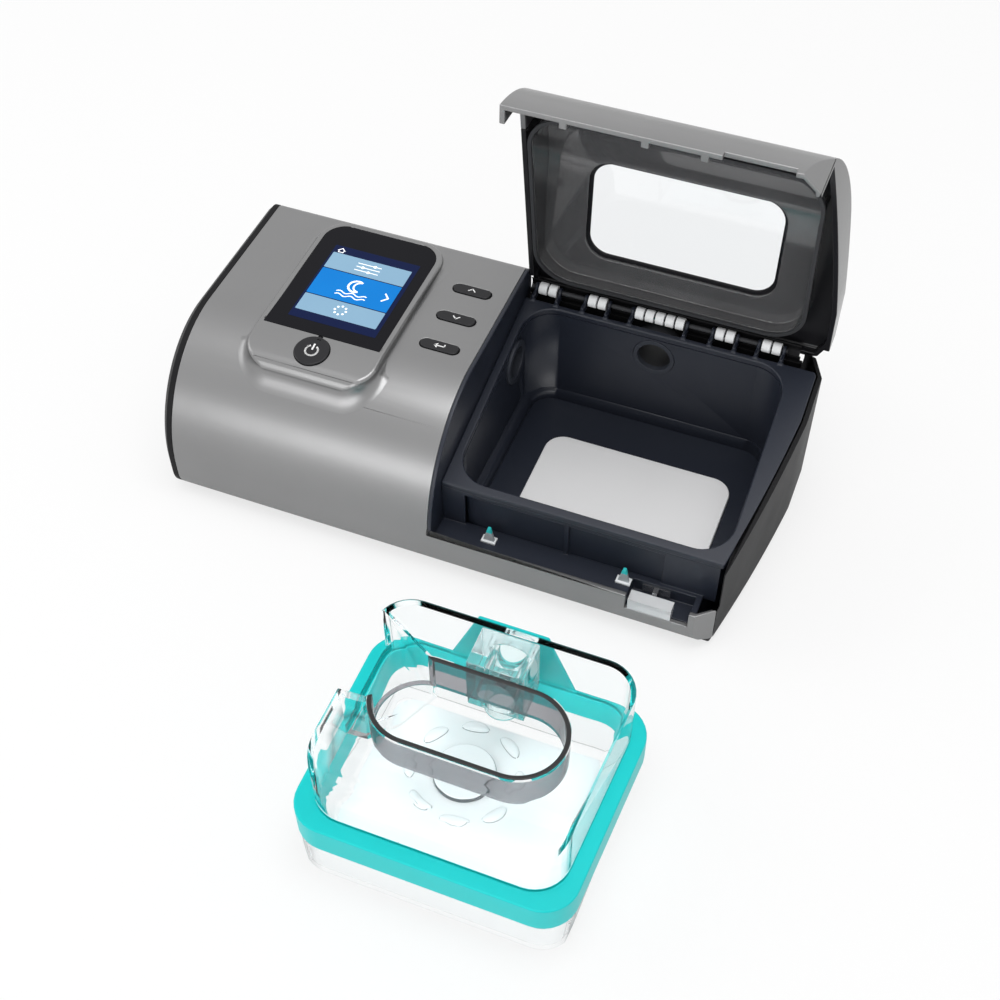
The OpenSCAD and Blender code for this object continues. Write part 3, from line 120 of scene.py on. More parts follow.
room = bpy.data.worlds.new("studio_room")
bpy.context.scene.world = room
room.use_nodes = True
nodes, links = room.node_tree.nodes, room.node_tree.links
room_light = nodes["Background"]
room_white = nodes.new("ShaderNodeBackground")
for glow, level in ((room_light, room_level), (room_white, 1.0)):
    glow.inputs["Color"].default_value = (1, 1, 1, 1)
    glow.inputs["Strength"].default_value = level
straight, mirrored = rays_seen(nodes, links)
seen = nodes.new("ShaderNodeMath")
seen.operation = "MAXIMUM"
links.new(straight, seen.inputs[0])
links.new(mirrored, seen.inputs[1])
room_mix = nodes.new("ShaderNodeMixShader")
links.new(seen.outputs[0], room_mix.inputs[0])
links.new(room_light.outputs[0], room_mix.inputs[1])
links.new(room_white.outputs[0], room_mix.inputs[2])
links.new(room_mix.outputs[0], nodes["World Output"].inputs[0])


def soft_lamp(name, at, aim, width, depth, watts):
    """A large soft lamp that hangs at one point and looks at another, in metres."""
    lamp = bpy.data.lights.new(name, "AREA")
    lamp.shape, lamp.size, lamp.size_y, lamp.energy = "RECTANGLE", width, depth, watts
    lamp_object = bpy.data.objects.new(name, lamp)
    bpy.context.scene.collection.objects.link(lamp_object)
    lamp_object.location = at
    lamp_object.rotation_euler = (Vector(aim) - Vector(at)).to_track_quat("-Z", "Y").to_euler()


soft_lamp("overhead_lamp", (0.15, -0.10, 1.6), (0, 0.02, 0), 1.3, 0.9, 14)
soft_lamp("left_lamp", (-1.5, -0.2, 0.9), (0, 0, 0.03), 1.1, 0.8, 5)
soft_lamp("front_lamp", (-0.15, -1.7, 0.34), (-0.03, 0, 0.04), 1.5, 0.5, 7.5)

# ---- Silver shell ----
# The full height cover of the left half and the low band that runs on under the
# bay. Moulded plastic with a satin metallic paint, screwed to the base from below.


def fine_grain_group():
    """Broad clouds and fine grain, as a colour between two tones, a roughness and a height."""
    cloud_share, grain_share = 0.65, 0.35
    group = bpy.data.node_groups.new("fine_grain", "ShaderNodeTree")
    for label, kind in (("Vector", "NodeSocketVector"), ("Light Tone", "NodeSocketColor"),
                        ("Deep Tone", "NodeSocketColor"), ("Cloud Size", "NodeSocketFloat"),
                        ("Grain Size", "NodeSocketFloat"), ("Roughness", "NodeSocketFloat"),
                        ("Spread", "NodeSocketFloat")):
        group.interface.new_socket(name=label, in_out="INPUT", socket_type=kind)
    for label, kind in (("Color", "NodeSocketColor"), ("Roughness", "NodeSocketFloat"),
                        ("Height", "NodeSocketFloat")):
        group.interface.new_socket(name=label, in_out="OUTPUT", socket_type=kind)
    n, l = group.nodes, group.links
    inside, out = n.new("NodeGroupInput"), n.new("NodeGroupOutput")
    cloud, grain = n.new("ShaderNodeTexNoise"), n.new("ShaderNodeTexNoise")
    cloud.inputs["Detail"].default_value = 3
    grain.inputs["Detail"].default_value = 2
    for noise, size in ((cloud, "Cloud Size"), (grain, "Grain Size")):
        l.new(inside.outputs["Vector"], noise.inputs["Vector"])
        l.new(inside.outputs[size], noise.inputs["Scale"])
    blend = n.new("ShaderNodeMath")
    blend.operation = "MULTIPLY_ADD"
    blend.inputs[1].default_value = grain_share
    l.new(grain.outputs["Fac"], blend.inputs[0])
    clouds = n.new("ShaderNodeMath")
    clouds.operation = "MULTIPLY"
    clouds.inputs[1].default_value = cloud_share
    l.new(cloud.outputs["Fac"], clouds.inputs[0])
    l.new(clouds.outputs[0], blend.inputs[2])
    tone = n.new("ShaderNodeMix")
    tone.data_type = "RGBA"
    l.new(blend.outputs[0], tone.inputs["Factor"])
    l.new(inside.outputs["Light Tone"], tone.inputs[6])
    l.new(inside.outputs["Deep Tone"], tone.inputs[7])
    l.new(tone.outputs[2], out.inputs["Color"])
    shift = n.new("ShaderNodeMath")
    shift.operation = "SUBTRACT"
    shift.inputs[1].default_value = 0.5
    l.new(cloud.outputs["Fac"], shift.inputs[0])
    rough = n.new("ShaderNodeMath")
    rough.operation = "MULTIPLY_ADD"
    l.new(shift.outputs[0], rough.inputs[0])
    l.new(inside.outputs["Spread"], rough.inputs[1])
    l.new(inside.outputs["Roughness"], rough.inputs[2])
    l.new(rough.outputs[0], out.inputs["Roughness"])
    l.new(grain.outputs["Fac"], out.inputs["Height"])
    return group


fine_grain = fine_grain_group()


def finish(name, light, deep, rough, spread=0.08, cloud=60, grain=2500, bump=0.04, metal=0.0,
           coat=0.0, glass=0.0, ior=1.46, edge=None, glow=0.0, shine=0.4):
    """A finish whose tones and gloss drift over the surface, with a fine grain.

    edge is the tint of a clear wall seen edge on, and how far it has to turn for that.
    """
    relief_depth, let_through = 0.2 * mm, 0.9
    material = bpy.data.materials.new(name)
    material.use_nodes = True
    n, l = material.node_tree.nodes, material.node_tree.links
    shader = n["Principled BSDF"]
    place = n.new("ShaderNodeTexCoord")
    surface = n.new("ShaderNodeGroup")
    surface.node_tree = fine_grain
    l.new(place.outputs["Object"], surface.inputs["Vector"])
    surface.inputs["Light Tone"].default_value = (*light, 1)
    surface.inputs["Deep Tone"].default_value = (*deep, 1)
    surface.inputs["Cloud Size"].default_value = cloud
    surface.inputs["Grain Size"].default_value = grain
    surface.inputs["Roughness"].default_value = rough
    surface.inputs["Spread"].default_value = spread
    colour = surface.outputs["Color"]
    if edge is not None:
        facing = n.new("ShaderNodeLayerWeight")
        facing.inputs["Blend"].default_value = 0.5
        ramp = n.new("ShaderNodeMapRange")
        ramp.inputs["From Min"].default_value = edge[3]
        ramp.inputs["From Max"].default_value = 1.0
        l.new(facing.outputs["Facing"], ramp.inputs["Value"])
        tint = n.new("ShaderNodeMix")
        tint.data_type = "RGBA"
        l.new(ramp.outputs["Result"], tint.inputs["Factor"])
        l.new(colour, tint.inputs[6])
        tint.inputs[7].default_value = (*edge[:3], 1)
        colour = tint.outputs[2]
    l.new(colour, shader.inputs["Base Color"])
    l.new(surface.outputs["Roughness"], shader.inputs["Roughness"])
    if bump:
        relief = n.new("ShaderNodeBump")
        relief.inputs["Strength"].default_value = bump
        relief.inputs["Distance"].default_value = relief_depth
        l.new(surface.outputs["Height"], relief.inputs["Height"])
        l.new(relief.outputs["Normal"], shader.inputs["Normal"])
    shader.inputs["Metallic"].default_value = metal
    shader.inputs["Specular IOR Level"].default_value = 0.5 if glass else shine
    shader.inputs["Coat Weight"].default_value = coat
    shader.inputs["Coat Roughness"].default_value = 0.08
    shader.inputs["Transmission Weight"].default_value = glass
    shader.inputs["IOR"].default_value = ior
    if glass:
        # thin clear walls throw only a faint shadow
        path = n.new("ShaderNodeLightPath")
        shade = n.new("ShaderNodeMath")
        shade.operation = "MULTIPLY_ADD"
        shade.inputs[1].default_value = -let_through * glass
        shade.inputs[2].default_value = 1.0
        l.new(path.outputs["Is Shadow Ray"], shade.inputs[0])
        l.new(shade.outputs[0], shader.inputs["Alpha"])
    if glow:
        l.new(colour, shader.inputs["Emission Color"])
        shader.inputs["Emission Strength"].default_value = glow
    return material


def piece(name, bm, material, body, hides=()):
    """Makes the finished mesh an object that rides on its body and stands for its CAD nodes."""
    crease, face_area_pull = radians(35), 90
    mesh = bpy.data.meshes.new(name)
    bm.normal_update()
    bm.to_mesh(mesh)
    bm.free()
    for one in (material if isinstance(material, (list, tuple)) else [material]):
        mesh.materials.append(one)
    mesh.shade_smooth()
    mesh.set_sharp_from_angle(angle=crease)
    made = bpy.data.objects.new(name, mesh)
    bpy.context.scene.collection.objects.link(made)
    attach(made, body)
    if hides:
        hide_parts(*hides)
    # broad flat faces set the shading, so that it stays even where holes are cut
    even = made.modifiers.new("even_shading", "WEIGHTED_NORMAL")
    even.keep_sharp = True
    even.weight = face_area_pull


def merged(node):
    """The CAD solid as one closed skin with flat faces joined."""
    weld, flat, sliver = 2e-6, radians(0.5), 5e-6
    bm = bmesh.new()
    bm.from_mesh(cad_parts[node].data)
    bmesh.ops.remove_doubles(bm, verts=bm.verts, dist=weld)
    bmesh.ops.dissolve_limit(bm, angle_limit=flat, verts=bm.verts, edges=bm.edges)
    bmesh.ops.dissolve_degenerate(bm, dist=sliver, edges=bm.edges)
    for face in bm.faces:
        face.material_index = 0
    return bm


def rounded(bm, edges, size, segments, **options):
    """Rounds the edges, with a size in metres."""
    return bmesh.ops.bevel(bm, geom=edges, offset=size, offset_type="OFFSET", segments=segments,
                           profile=0.5, affect="EDGES", material=-1, **options)


def moulded(node, edge=0.35, segments=2, angle=32, edge_slot=None, only=None):
    """The merged CAD solid with its sharp edges rounded, as a mould leaves them."""
    most_change = 0.06
    bm = merged(node)
    if not edge:
        return bm
    sharp = [e for e in bm.edges if e.is_manifold and e.calc_face_angle(0) > radians(angle)
             and (only is None or only(e))]
    full = bm.calc_volume()
    made = rounded(bm, sharp, edge * mm, segments, clamp_overlap=False, loop_slide=True)
    if abs(bm.calc_volume() - full) > most_change * full:
        # a ledge thinner than the rounding keeps the piece sharp
        bm.free()
        return merged(node)
    if edge_slot is not None:
        for face in made["faces"]:
            face.material_index = edge_slot
    return bm


silver_paint = finish("silver_paint", (0.27, 0.27, 0.272), (0.23, 0.23, 0.232), 0.34, 0.06,
                      cloud=25, grain=5200, bump=0.05, metal=0.88, coat=0.08)
piece("silver_cover", moulded("silver_shell"), silver_paint, "machine", ["silver_shell"])

# ---- End caps ----
# Domed black caps that close the casing at its left and right ends. Moulded
# plastic with a fine spark grain, clipped to the base.
cap_black = finish("cap_black", (0.014, 0.014, 0.015), (0.008, 0.008, 0.009), 0.46, 0.1,
                   grain=3000, bump=0.09, shine=0.12)
piece("left_cap", moulded("left_end_cap", 0.3, angle=40), cap_black, "machine", ["left_end_cap"])
piece("right_cap", moulded("right_end_cap", 0.3), cap_black, "machine", ["right_end_cap"])

# ---- Base, feet and screws ----
# A black tray with screw bosses closes the casing from below. It stands on four
# soft rubber feet, and six steel screws hold the shells on it.
base_black = finish("base_black", (0.020, 0.020, 0.022), (0.012, 0.012, 0.013), 0.5, 0.1,
                    grain=1800, bump=0.12)
foot_rubber = finish("foot_rubber", (0.045, 0.045, 0.048), (0.028, 0.028, 0.030), 0.75, 0.12,
                     cloud=140, grain=1500, bump=0.16)
screw_steel = finish("screw_steel", (0.52, 0.52, 0.53), (0.40, 0.40, 0.41), 0.3, 0.12,
                     cloud=400, grain=4000, bump=0.05, metal=1.0)
piece("base_tray", moulded("base_shell", 0.25), base_black, "machine", ["base_shell"])
piece("feet", moulded("rubber_feet", 0.5), foot_rubber, "machine", ["rubber_feet"])
piece("screws", moulded("base_screws", 0.25), screw_steel, "machine", ["base_screws"])

# ---- Rear panel ----
# A plain black wall behind, moulded with the posts of the board and the frame of
# the air filter, and cut for the hose, the power socket, the filter and the card.
piece("back_wall", moulded("rear_panel", 0.3), cap_black, "machine", ["rear_panel"])
filter_grille = finish("filter_grille", (0.030, 0.030, 0.033), (0.018, 0.018, 0.020), 0.45, 0.1,
                       grain=2400, bump=0.1)
piece("grille", moulded("filter_cover", 0.3), filter_grille, "filter_door", ["filter_cover"])
piece("card_flap", moulded("card_slot_cover", 0.3), foot_rubber, "machine", ["card_slot_cover"])
filter_felt = finish("filter_felt", (0.80, 0.80, 0.78), (0.62, 0.62, 0.60), 0.92, 0.05,
                     cloud=300, grain=1400, bump=0.5)
piece("filter_pad", moulded("air_filter", 0.6, segments=3), filter_felt, "machine",
      ["air_filter"])
socket_black = finish("socket_black", (0.012, 0.012, 0.013), (0.007, 0.007, 0.008), 0.3, 0.08,
                      grain=3500, bump=0.05)
piece("power_socket", moulded("dc_jack", 0.2), socket_black, "machine", ["dc_jack"])
hose_grey = finish("hose_grey", (0.030, 0.031, 0.035), (0.018, 0.019, 0.022), 0.48, 0.1,
                   grain=2000, bump=0.1)
piece("hose_port", moulded("hose_connector", 0.5, segments=3), hose_grey, "machine",
      ["hose_connector"])

# ---- Display pod ----
# A raised frame round the screen, moulded in the silver plastic. A soft fillet
# leads from the shell up to it on every side, and its rim is rounded.
power_at, power_lean = Vector((-69.5, 36.9, 79.9)) * mm, radians(7)
rim_round, clear_of_key = 1.6, 10 * mm
lowest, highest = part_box("display_pod")
pod_middle = (Vector(lowest) + Vector(highest)) / 2


def on_pod_rim(edge):
    """True on the outer rim, which a top face and a wall facing outwards share."""
    tops = [f for f in edge.link_faces if f.normal.z > 0.35]
    walls = [f for f in edge.link_faces if abs(f.normal.z) < 0.3]
    if not tops or not walls:
        return False
    at = (edge.verts[0].co + edge.verts[1].co) / 2
    outward = at - pod_middle
    outward.z = 0
    return walls[0].normal.dot(outward) > 0 and (at - power_at).length > clear_of_key


piece("screen_frame", moulded("display_pod", rim_round, segments=6, angle=30, only=on_pod_rim),
      silver_paint, "machine", ["display_pod"])
half_w, half_d, corner = (highest[0] - lowest[0]) / 2, (highest[1] - lowest[1]) / 2, 13 * mm
skirt_w, skirt_steps, skirt_sides = 4.5 * mm, 7, 56
sunk, least_rise = 0.3 * mm, 0.2 * mm


def skin_tree(node):
    skin = bmesh.new()
    skin.from_mesh(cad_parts[node].data)
    tree = BVHTree.FromBMesh(skin)
    skin.free()
    return tree


def skirt_point(turn, reach):
    """A point on the round cornered loop that runs reach outside the pod's wall."""
    quarter = int(turn / (pi / 2) + 1e-9) % 4
    side_x, side_y = (1, -1, -1, 1)[quarter], (1, 1, -1, -1)[quarter]
    return Vector((pod_middle.x + side_x * (half_w - corner) + (corner + reach) * cos(turn),
                   pod_middle.y + side_y * (half_d - corner) + (corner + reach) * sin(turn), 0))


def height_under(tree, at):
    """How high the skin lies below a point of the plan."""
    return tree.ray_cast(Vector((at.x, at.y, 0.2)), Vector((0, 0, -1)))[0].z


shell_tree, pod_tree = skin_tree("silver_shell"), skin_tree("display_pod")
bm = bmesh.new()
rings = []
for step in range(skirt_steps + 1):
    # the last ring goes under the shell, and closes the loop
    lean = pi / 2 * min(step / (skirt_steps - 1), 1)
    ring = bmesh.ops.create_circle(bm, segments=skirt_sides, radius=1)["verts"]
    for i, vert in enumerate(ring):
        # each corner of the loop takes a quarter of the points
        quarter, part = divmod(i, skirt_sides // 4)
        turn = pi / 2 * (quarter + part / (skirt_sides // 4 - 1) * 0.99999)
        reach = skirt_w * (1 - sin(lean))
        wall_top = height_under(pod_tree, skirt_point(turn, -0.6 * mm))
        ground = height_under(shell_tree, skirt_point(turn, max(reach, 0.8 * mm)))
        rise = max(wall_top - ground - rim_round * mm, least_rise)
        at = skirt_point(turn, reach + 0.02 * mm)
        at.z = ground + 0.03 * mm + rise * (1 - cos(lean))
        if step == skirt_steps:
            at.z = ground - sunk
        vert.co = at
    rings.append({e for v in ring for e in v.link_edges})
for lower, upper in zip(rings, rings[1:] + rings[:1]):
    bmesh.ops.bridge_loops(bm, edges=list(lower | upper))
bmesh.ops.recalc_face_normals(bm, faces=bm.faces)
piece("pod_fillet", bm, silver_paint, "machine")

# ---- Screen ----
# A flat black glass over a colour display. Its lit page has a header and three
# bars with plain glyphs, printed here as thin glowing tiles on the glass.
glass_black = finish("glass_black", (0.009, 0.009, 0.012), (0.006, 0.006, 0.008), 0.09, 0.03,
                     cloud=30, grain=6000, bump=0.01, shine=0.1)
piece("cover_glass", moulded("display_glass", 0.25, segments=3), glass_black, "machine",
      ["display_glass"])
glass_top, tile_thick, tile_corner = 80.0, 0.04, 0.4


def block(bm, size, centre=(0, 0, 0)):
    """A slab to be shaped further, in metres."""
    made = bmesh.ops.create_cube(bm, size=1)["verts"]
    bmesh.ops.scale(bm, vec=size, verts=made)
    bmesh.ops.translate(bm, vec=centre, verts=made)
    return made


def page_tile(name, box, colour, deep, glow, height):
    """A glowing tile with round corners, its box in millimetres over the glass."""
    x0, x1, y0, y1 = box
    z0, z1 = glass_top + height, glass_top + height + tile_thick
    bm = bmesh.new()
    block(bm, ((x1 - x0) * mm, (y1 - y0) * mm, (z1 - z0) * mm),
          ((x0 + x1) / 2 * mm, (y0 + y1) / 2 * mm, (z0 + z1) / 2 * mm))
    upright = [e for e in bm.edges if abs(e.verts[0].co.z - e.verts[1].co.z) > 0.001 * mm]
    rounded(bm, upright, tile_corner * mm, 5)
    paint = finish(name + "_light", colour, deep, 0.35, 0.02, cloud=45, grain=9000, bump=0.0,
                   glow=glow, shine=0.1)
    piece(name, bm, paint, "machine")


bar_pale, bar_deep, bar_blue = (0.17, 0.28, 0.37), (0.14, 0.24, 0.34), (0.002, 0.11, 0.36)
page_tile("page_back", (-88.6, -47.6, 52.8, 101.4), (0.002, 0.005, 0.030), (0.002, 0.008, 0.045),
          0.5, 0.0)
page_tile("page_bar_top", (-87.6, -49.6, 86.2, 96.6), bar_pale, bar_deep, 0.75, 0.04)
page_tile("page_bar_middle", (-87.6, -49.6, 68.6, 85.7), bar_blue, (0.004, 0.14, 0.42), 0.75, 0.04)
page_tile("page_bar_low", (-87.6, -49.6, 57.6, 68.1), bar_pale, bar_deep, 0.75, 0.04)
glyph_white = finish("glyph_white", (0.92, 0.93, 0.95), (0.84, 0.86, 0.90), 0.4, 0.03,
                     cloud=80, grain=6000, bump=0.0, glow=0.45)


def stroke(bm, points, width, z0, z1):
    """A line of even width through flat points, in millimetres, as joined slabs."""
    for (xa, ya), (xb, yb) in zip(points, points[1:]):
        span = Vector((xb - xa, yb - ya, 0))
        made = block(bm, ((span.length + width * 0.6) * mm, width * mm, (z1 - z0) * mm))
        bmesh.ops.rotate(bm, verts=made,
                         matrix=Matrix.Rotation(atan2(span.y, span.x), 3, "Z"))
        bmesh.ops.translate(bm, verts=made, vec=((xa + xb) / 2 * mm, (ya + yb) / 2 * mm,
                                                 (z0 + z1) / 2 * mm))


def arc_points(x, y, r, a0, a1, steps=14):
    """Points along a circle, from one angle to another in degrees."""
    return [(x + r * cos(radians(a0 + (a1 - a0) * i / steps)),
             y + r * sin(radians(a0 + (a1 - a0) * i / steps))) for i in range(steps + 1)]


# plain glyphs: a house in the header, three sliders on the top bar, a moon over waves
# and an arrow head on the middle bar, and a ring of dots on the low bar
moon_x, wave_x, dots_y, dots_r = -68.5, -75.5, 62.9, 2.6
level = (glass_top + 0.085, glass_top + 0.12)
bm = bmesh.new()
stroke(bm, [(-86.2, 98.3), (-84.6, 99.9), (-83.0, 98.3)], 0.45, *level)
stroke(bm, [(-85.7, 98.1), (-85.7, 97.3), (-83.5, 97.3), (-83.5, 98.1)], 0.4, *level)
for row, knob in ((93.6, -66), (91.4, -71), (89.2, -67.5)):
    stroke(bm, [(-74, row), (-63, row)], 0.45, *level)
    stroke(bm, arc_points(knob, row, 0.5, 0, 360, 12), 0.5, *level)
stroke(bm, arc_points(moon_x, 79.0, 3.5, 60, 300), 0.9, *level)
stroke(bm, arc_points(-66.6, 79.0, 2.9, 95, 265), 0.7, *level)
for row in (73.9, 72.0):
    stroke(bm, [(wave_x + i * 0.7, row + 0.6 * sin(i * 0.75)) for i in range(21)], 0.5, *level)
stroke(bm, [(-54.6, 79.4), (-52.4, 77.0), (-54.6, 74.6)], 0.7, *level)
for i in range(8):
    x, y = moon_x + dots_r * cos(i * pi / 4), dots_y + dots_r * sin(i * pi / 4)
    stroke(bm, arc_points(x, y, 0.32, 0, 360, 10), 0.4, *level)
piece("page_glyphs", bm, glyph_white, "machine")

# ---- Power button ----
# A round black key below the glass, dished a little and tilted with the falling
# front of the pod. A white ring and bar are printed on it.
key_black = finish("key_black", (0.018, 0.018, 0.020), (0.011, 0.011, 0.013), 0.3, 0.08,
                   cloud=120, grain=3200, bump=0.06, shine=0.3)
print_white = finish("print_white", (0.90, 0.90, 0.90), (0.78, 0.78, 0.78), 0.5, 0.04,
                     cloud=200, grain=5000, bump=0.0)
key_radius, key_height, key_round = 7.6 * mm, 2.6 * mm, 0.5 * mm
dish_rings, dish_step = (1.2, 2.2, 2.0), -0.06 * mm
bm = bmesh.new()
bmesh.ops.create_circle(bm, cap_ends=True, segments=72, radius=key_radius)
disc = bm.faces[:][0]
wall = bmesh.ops.extrude_face_region(bm, geom=[disc])
bmesh.ops.translate(bm, vec=(0, 0, key_height),
                    verts=[v for v in wall["geom"] if isinstance(v, bmesh.types.BMVert)])
bmesh.ops.recalc_face_normals(bm, faces=bm.faces)
for ring in dish_rings:
    crown = max(bm.faces, key=lambda f: f.calc_center_median().z if f.normal.z > 0.9 else -1)
    bmesh.ops.inset_region(bm, faces=[crown], thickness=ring * mm, depth=dish_step)
rim = [e for e in bm.edges if e.is_manifold and e.calc_face_angle(0) > radians(60)]
rounded(bm, rim, key_round, 4)
bmesh.ops.translate(bm, vec=(0, 0, -key_height), verts=bm.verts)
turn = Matrix.Translation(power_at) @ Matrix.Rotation(power_lean, 4, "X")
bmesh.ops.transform(bm, matrix=turn, verts=bm.verts)
piece("power_key", bm, key_black, "power_button", ["power_button"])
sign_width, sign_low, sign_high = 0.75, -0.14, 0.05
bm = bmesh.new()
stroke(bm, arc_points(0, -0.2, 2.7, 125, 415, 26), sign_width, sign_low, sign_high)
stroke(bm, [(0, 0.4), (0, 3.3)], sign_width, sign_low, sign_high)
bmesh.ops.transform(bm, matrix=turn, verts=bm.verts)
piece("power_print", bm, print_white, "power_button")

# ---- Menu buttons ----
# Three black pills right of the display, for up, down and enter. Each is one
# moulding with a flange under the shell and a small printed sign.
column_x, print_low, print_high = -21.5, 77.48, 77.55
for key, row, lines in (
        ("up", 97.6, [[(-1.5, -0.6), (0, 0.8), (1.5, -0.6)]]),
        ("down", 79.2, [[(-1.5, 0.6), (0, -0.8), (1.5, 0.6)]]),
        ("enter", 60.8, [[(2.2, 1.0), (2.2, -0.2), (-2.0, -0.2)],
                         [(-1.0, 0.8), (-2.2, -0.2), (-1.0, -1.2)]])):
    node = key + "_button"
    piece(key + "_key", moulded(node, 0.45, segments=4), key_black, node, [node])
    bm = bmesh.new()
    for line in lines:
        stroke(bm, [(x + column_x, y + row) for x, y in line], 0.55, print_low, print_high)
    piece(key + "_print", bm, print_white, node)

# ---- Boards and inner parts ----
# The display, the boards, the blower and the foam inside the casing. They keep
# their CAD forms and get the finish of lacquered board, moulding, metal and foam.
board_green = finish("board_green", (0.012, 0.13, 0.055), (0.006, 0.075, 0.03), 0.35, 0.1,
                     cloud=220, grain=900, bump=0.12)
panel_blue = finish("panel_blue", (0.03, 0.10, 0.32), (0.015, 0.06, 0.22), 0.25, 0.06,
                    cloud=90, grain=2500, bump=0.03)
duct_white = finish("duct_white", (0.72, 0.72, 0.71), (0.62, 0.62, 0.61), 0.42, 0.1,
                    grain=1800, bump=0.07)
motor_steel = finish("motor_steel", (0.42, 0.42, 0.43), (0.30, 0.30, 0.31), 0.34, 0.12,
                     cloud=160, grain=2800, bump=0.07, metal=1.0)
wheel_grey = finish("wheel_grey", (0.50, 0.51, 0.52), (0.42, 0.43, 0.44), 0.4, 0.1,
                    grain=2200, bump=0.06)
sleeve_rubber = finish("sleeve_rubber", (0.040, 0.041, 0.045), (0.026, 0.027, 0.030), 0.68, 0.1,
                       cloud=110, grain=1300, bump=0.14)
foam_grey = finish("foam_grey", (0.085, 0.085, 0.09), (0.045, 0.045, 0.05), 0.95, 0.04,
                   cloud=500, grain=900, bump=0.9)
pad_amber = finish("pad_amber", (0.55, 0.22, 0.03), (0.45, 0.16, 0.02), 0.32, 0.1,
                   cloud=180, grain=1200, bump=0.08)
spring_steel = finish("spring_steel", (0.60, 0.60, 0.61), (0.50, 0.50, 0.51), 0.24, 0.08,
                      cloud=300, grain=3600, bump=0.04, metal=1.0)
for node, paint in (
        ("lcd_panel", panel_blue), ("display_board", board_green), ("button_board", board_green),
        ("main_board", board_green), ("blower_housing", duct_white),
        ("blower_cover", duct_white), ("impeller", wheel_grey), ("blower_shaft", spring_steel),
        ("shaft_bearings", spring_steel), ("blower_motor", motor_steel),
        ("blower_mounts", sleeve_rubber), ("outlet_duct", sleeve_rubber),
        ("muffler_foam", foam_grey), ("heater_pad", pad_amber),
        ("heater_posts", sleeve_rubber), ("latch_spring", spring_steel),
        ("hinge_rod", sleeve_rubber)):
    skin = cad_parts[node].data
    skin.materials.clear()
    skin.materials.append(paint)

# ---- Water bay ----
# A deep dark tub under a sloping deck, with a trough in front and a wall beside
# the silver shell, all moulded in one navy plastic. The mouth is well rounded.
bay_navy = finish("bay_navy", (0.020, 0.024, 0.036), (0.013, 0.016, 0.026), 0.36, 0.1,
                  cloud=35, grain=2600, bump=0.08)
piece("water_tub", moulded("bay_tub", 0), bay_navy, "machine", ["bay_tub"])
piece("bay_rim", moulded("bay_deck", 0.7, segments=3), bay_navy, "machine", ["bay_deck"])
piece("front_trough", moulded("bay_trough", 0.35), bay_navy, "machine", ["bay_trough"])
piece("bay_wall", moulded("bay_divider", 0.4), bay_navy, "machine", ["bay_divider"])
plate_white = finish("plate_white", (0.93, 0.93, 0.93), (0.89, 0.89, 0.90), 0.38, 0.08,
                     cloud=30, grain=1600, bump=0.05)
piece("warm_plate", moulded("heater_plate", 0.6, segments=4), plate_white, "machine",
      ["heater_plate"])
seal_navy = finish("seal_navy", (0.034, 0.038, 0.050), (0.022, 0.026, 0.036), 0.55, 0.1,
                   grain=2000, bump=0.1)
piece("side_seal", moulded("side_port_seal", 0.5, segments=3), seal_navy, "machine",
      ["side_port_seal"])
piece("outlet_seal", moulded("hose_seal", 0.3, segments=3), seal_navy, "machine", ["hose_seal"])

# ---- Catches and latch ----
# Two white springy hooks in the trough hold the lid's front edge. A clear key in
# a pocket of the silver band lets it go.
hook_white = finish("hook_white", (0.82, 0.84, 0.85), (0.72, 0.74, 0.76), 0.3, 0.06,
                    cloud=160, grain=3000, bump=0.04)
hook_teal = finish("hook_teal", (0.04, 0.55, 0.55), (0.03, 0.46, 0.47), 0.3, 0.06,
                   cloud=160, grain=3000, bump=0.04)
low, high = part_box("lid_catches")
hook_y, hook_z, hook_height = (low[1] + high[1]) / 2, (low[2] + high[2]) / 2, high[2] - low[2]
foot_size, half_foot = (6.4 * mm, 3.8 * mm, 1 * mm), 2.2 * mm
blade_size = (5.2 * mm, 1.3 * mm, hook_height - 0.8 * mm)
blade_narrows, blade_leans, hook_round = 0.78, 0.8 * mm, 0.15 * mm
foot_top, teal_from = low[2] + 1.2 * mm, 26.4 * mm
bm = bmesh.new()
for hook_x in (low[0] + half_foot, high[0] - half_foot):
    # a flat foot, and a blade that narrows to a teal tip
    foot = block(bm, foot_size, (hook_x, hook_y, low[2] + 0.5 * mm))
    blade = block(bm, blade_size)
    tall = [e for e in bm.edges if e.verts[0] in blade and e.verts[1] in blade
            and abs(e.verts[0].co.z - e.verts[1].co.z) > 1 * mm]
    bmesh.ops.subdivide_edges(bm, edges=tall, cuts=2)
    blade = {v for v in bm.verts if v not in foot and abs(v.co.x) < 3 * mm
             and abs(v.co.y) < 1 * mm}
    for vert in blade:
        up = vert.co.z / hook_height + 0.5
        vert.co.x *= 1 - blade_narrows * up
        vert.co.y += blade_leans * up
    bmesh.ops.translate(bm, vec=(hook_x, hook_y - 0.2 * mm, hook_z + 0.3 * mm),
                        verts=list(blade))
rounded(bm, bm.edges[:], hook_round, 2)
for face in bm.faces:
    height = face.calc_center_median().z
    face.material_index = 0 if height < foot_top else 1 if height > teal_from else 2
blade_grey = finish("blade_grey", (0.42, 0.44, 0.46), (0.34, 0.36, 0.38), 0.22, 0.06,
                    cloud=160, grain=3000, bump=0.03)
piece("hooks", bm, [hook_white, hook_teal, blade_grey], "machine", ["lid_catches"])
latch_clear = finish("latch_clear", (0.95, 0.96, 0.97), (0.90, 0.91, 0.93), 0.07, 0.04,
                     cloud=90, grain=4000, bump=0.01, glass=0.55, ior=1.45,
                     edge=(0.08, 0.09, 0.10, 0.62))
piece("latch_key", moulded("latch_button", 2.0, segments=6), latch_clear, "latch_button",
      ["latch_button"])

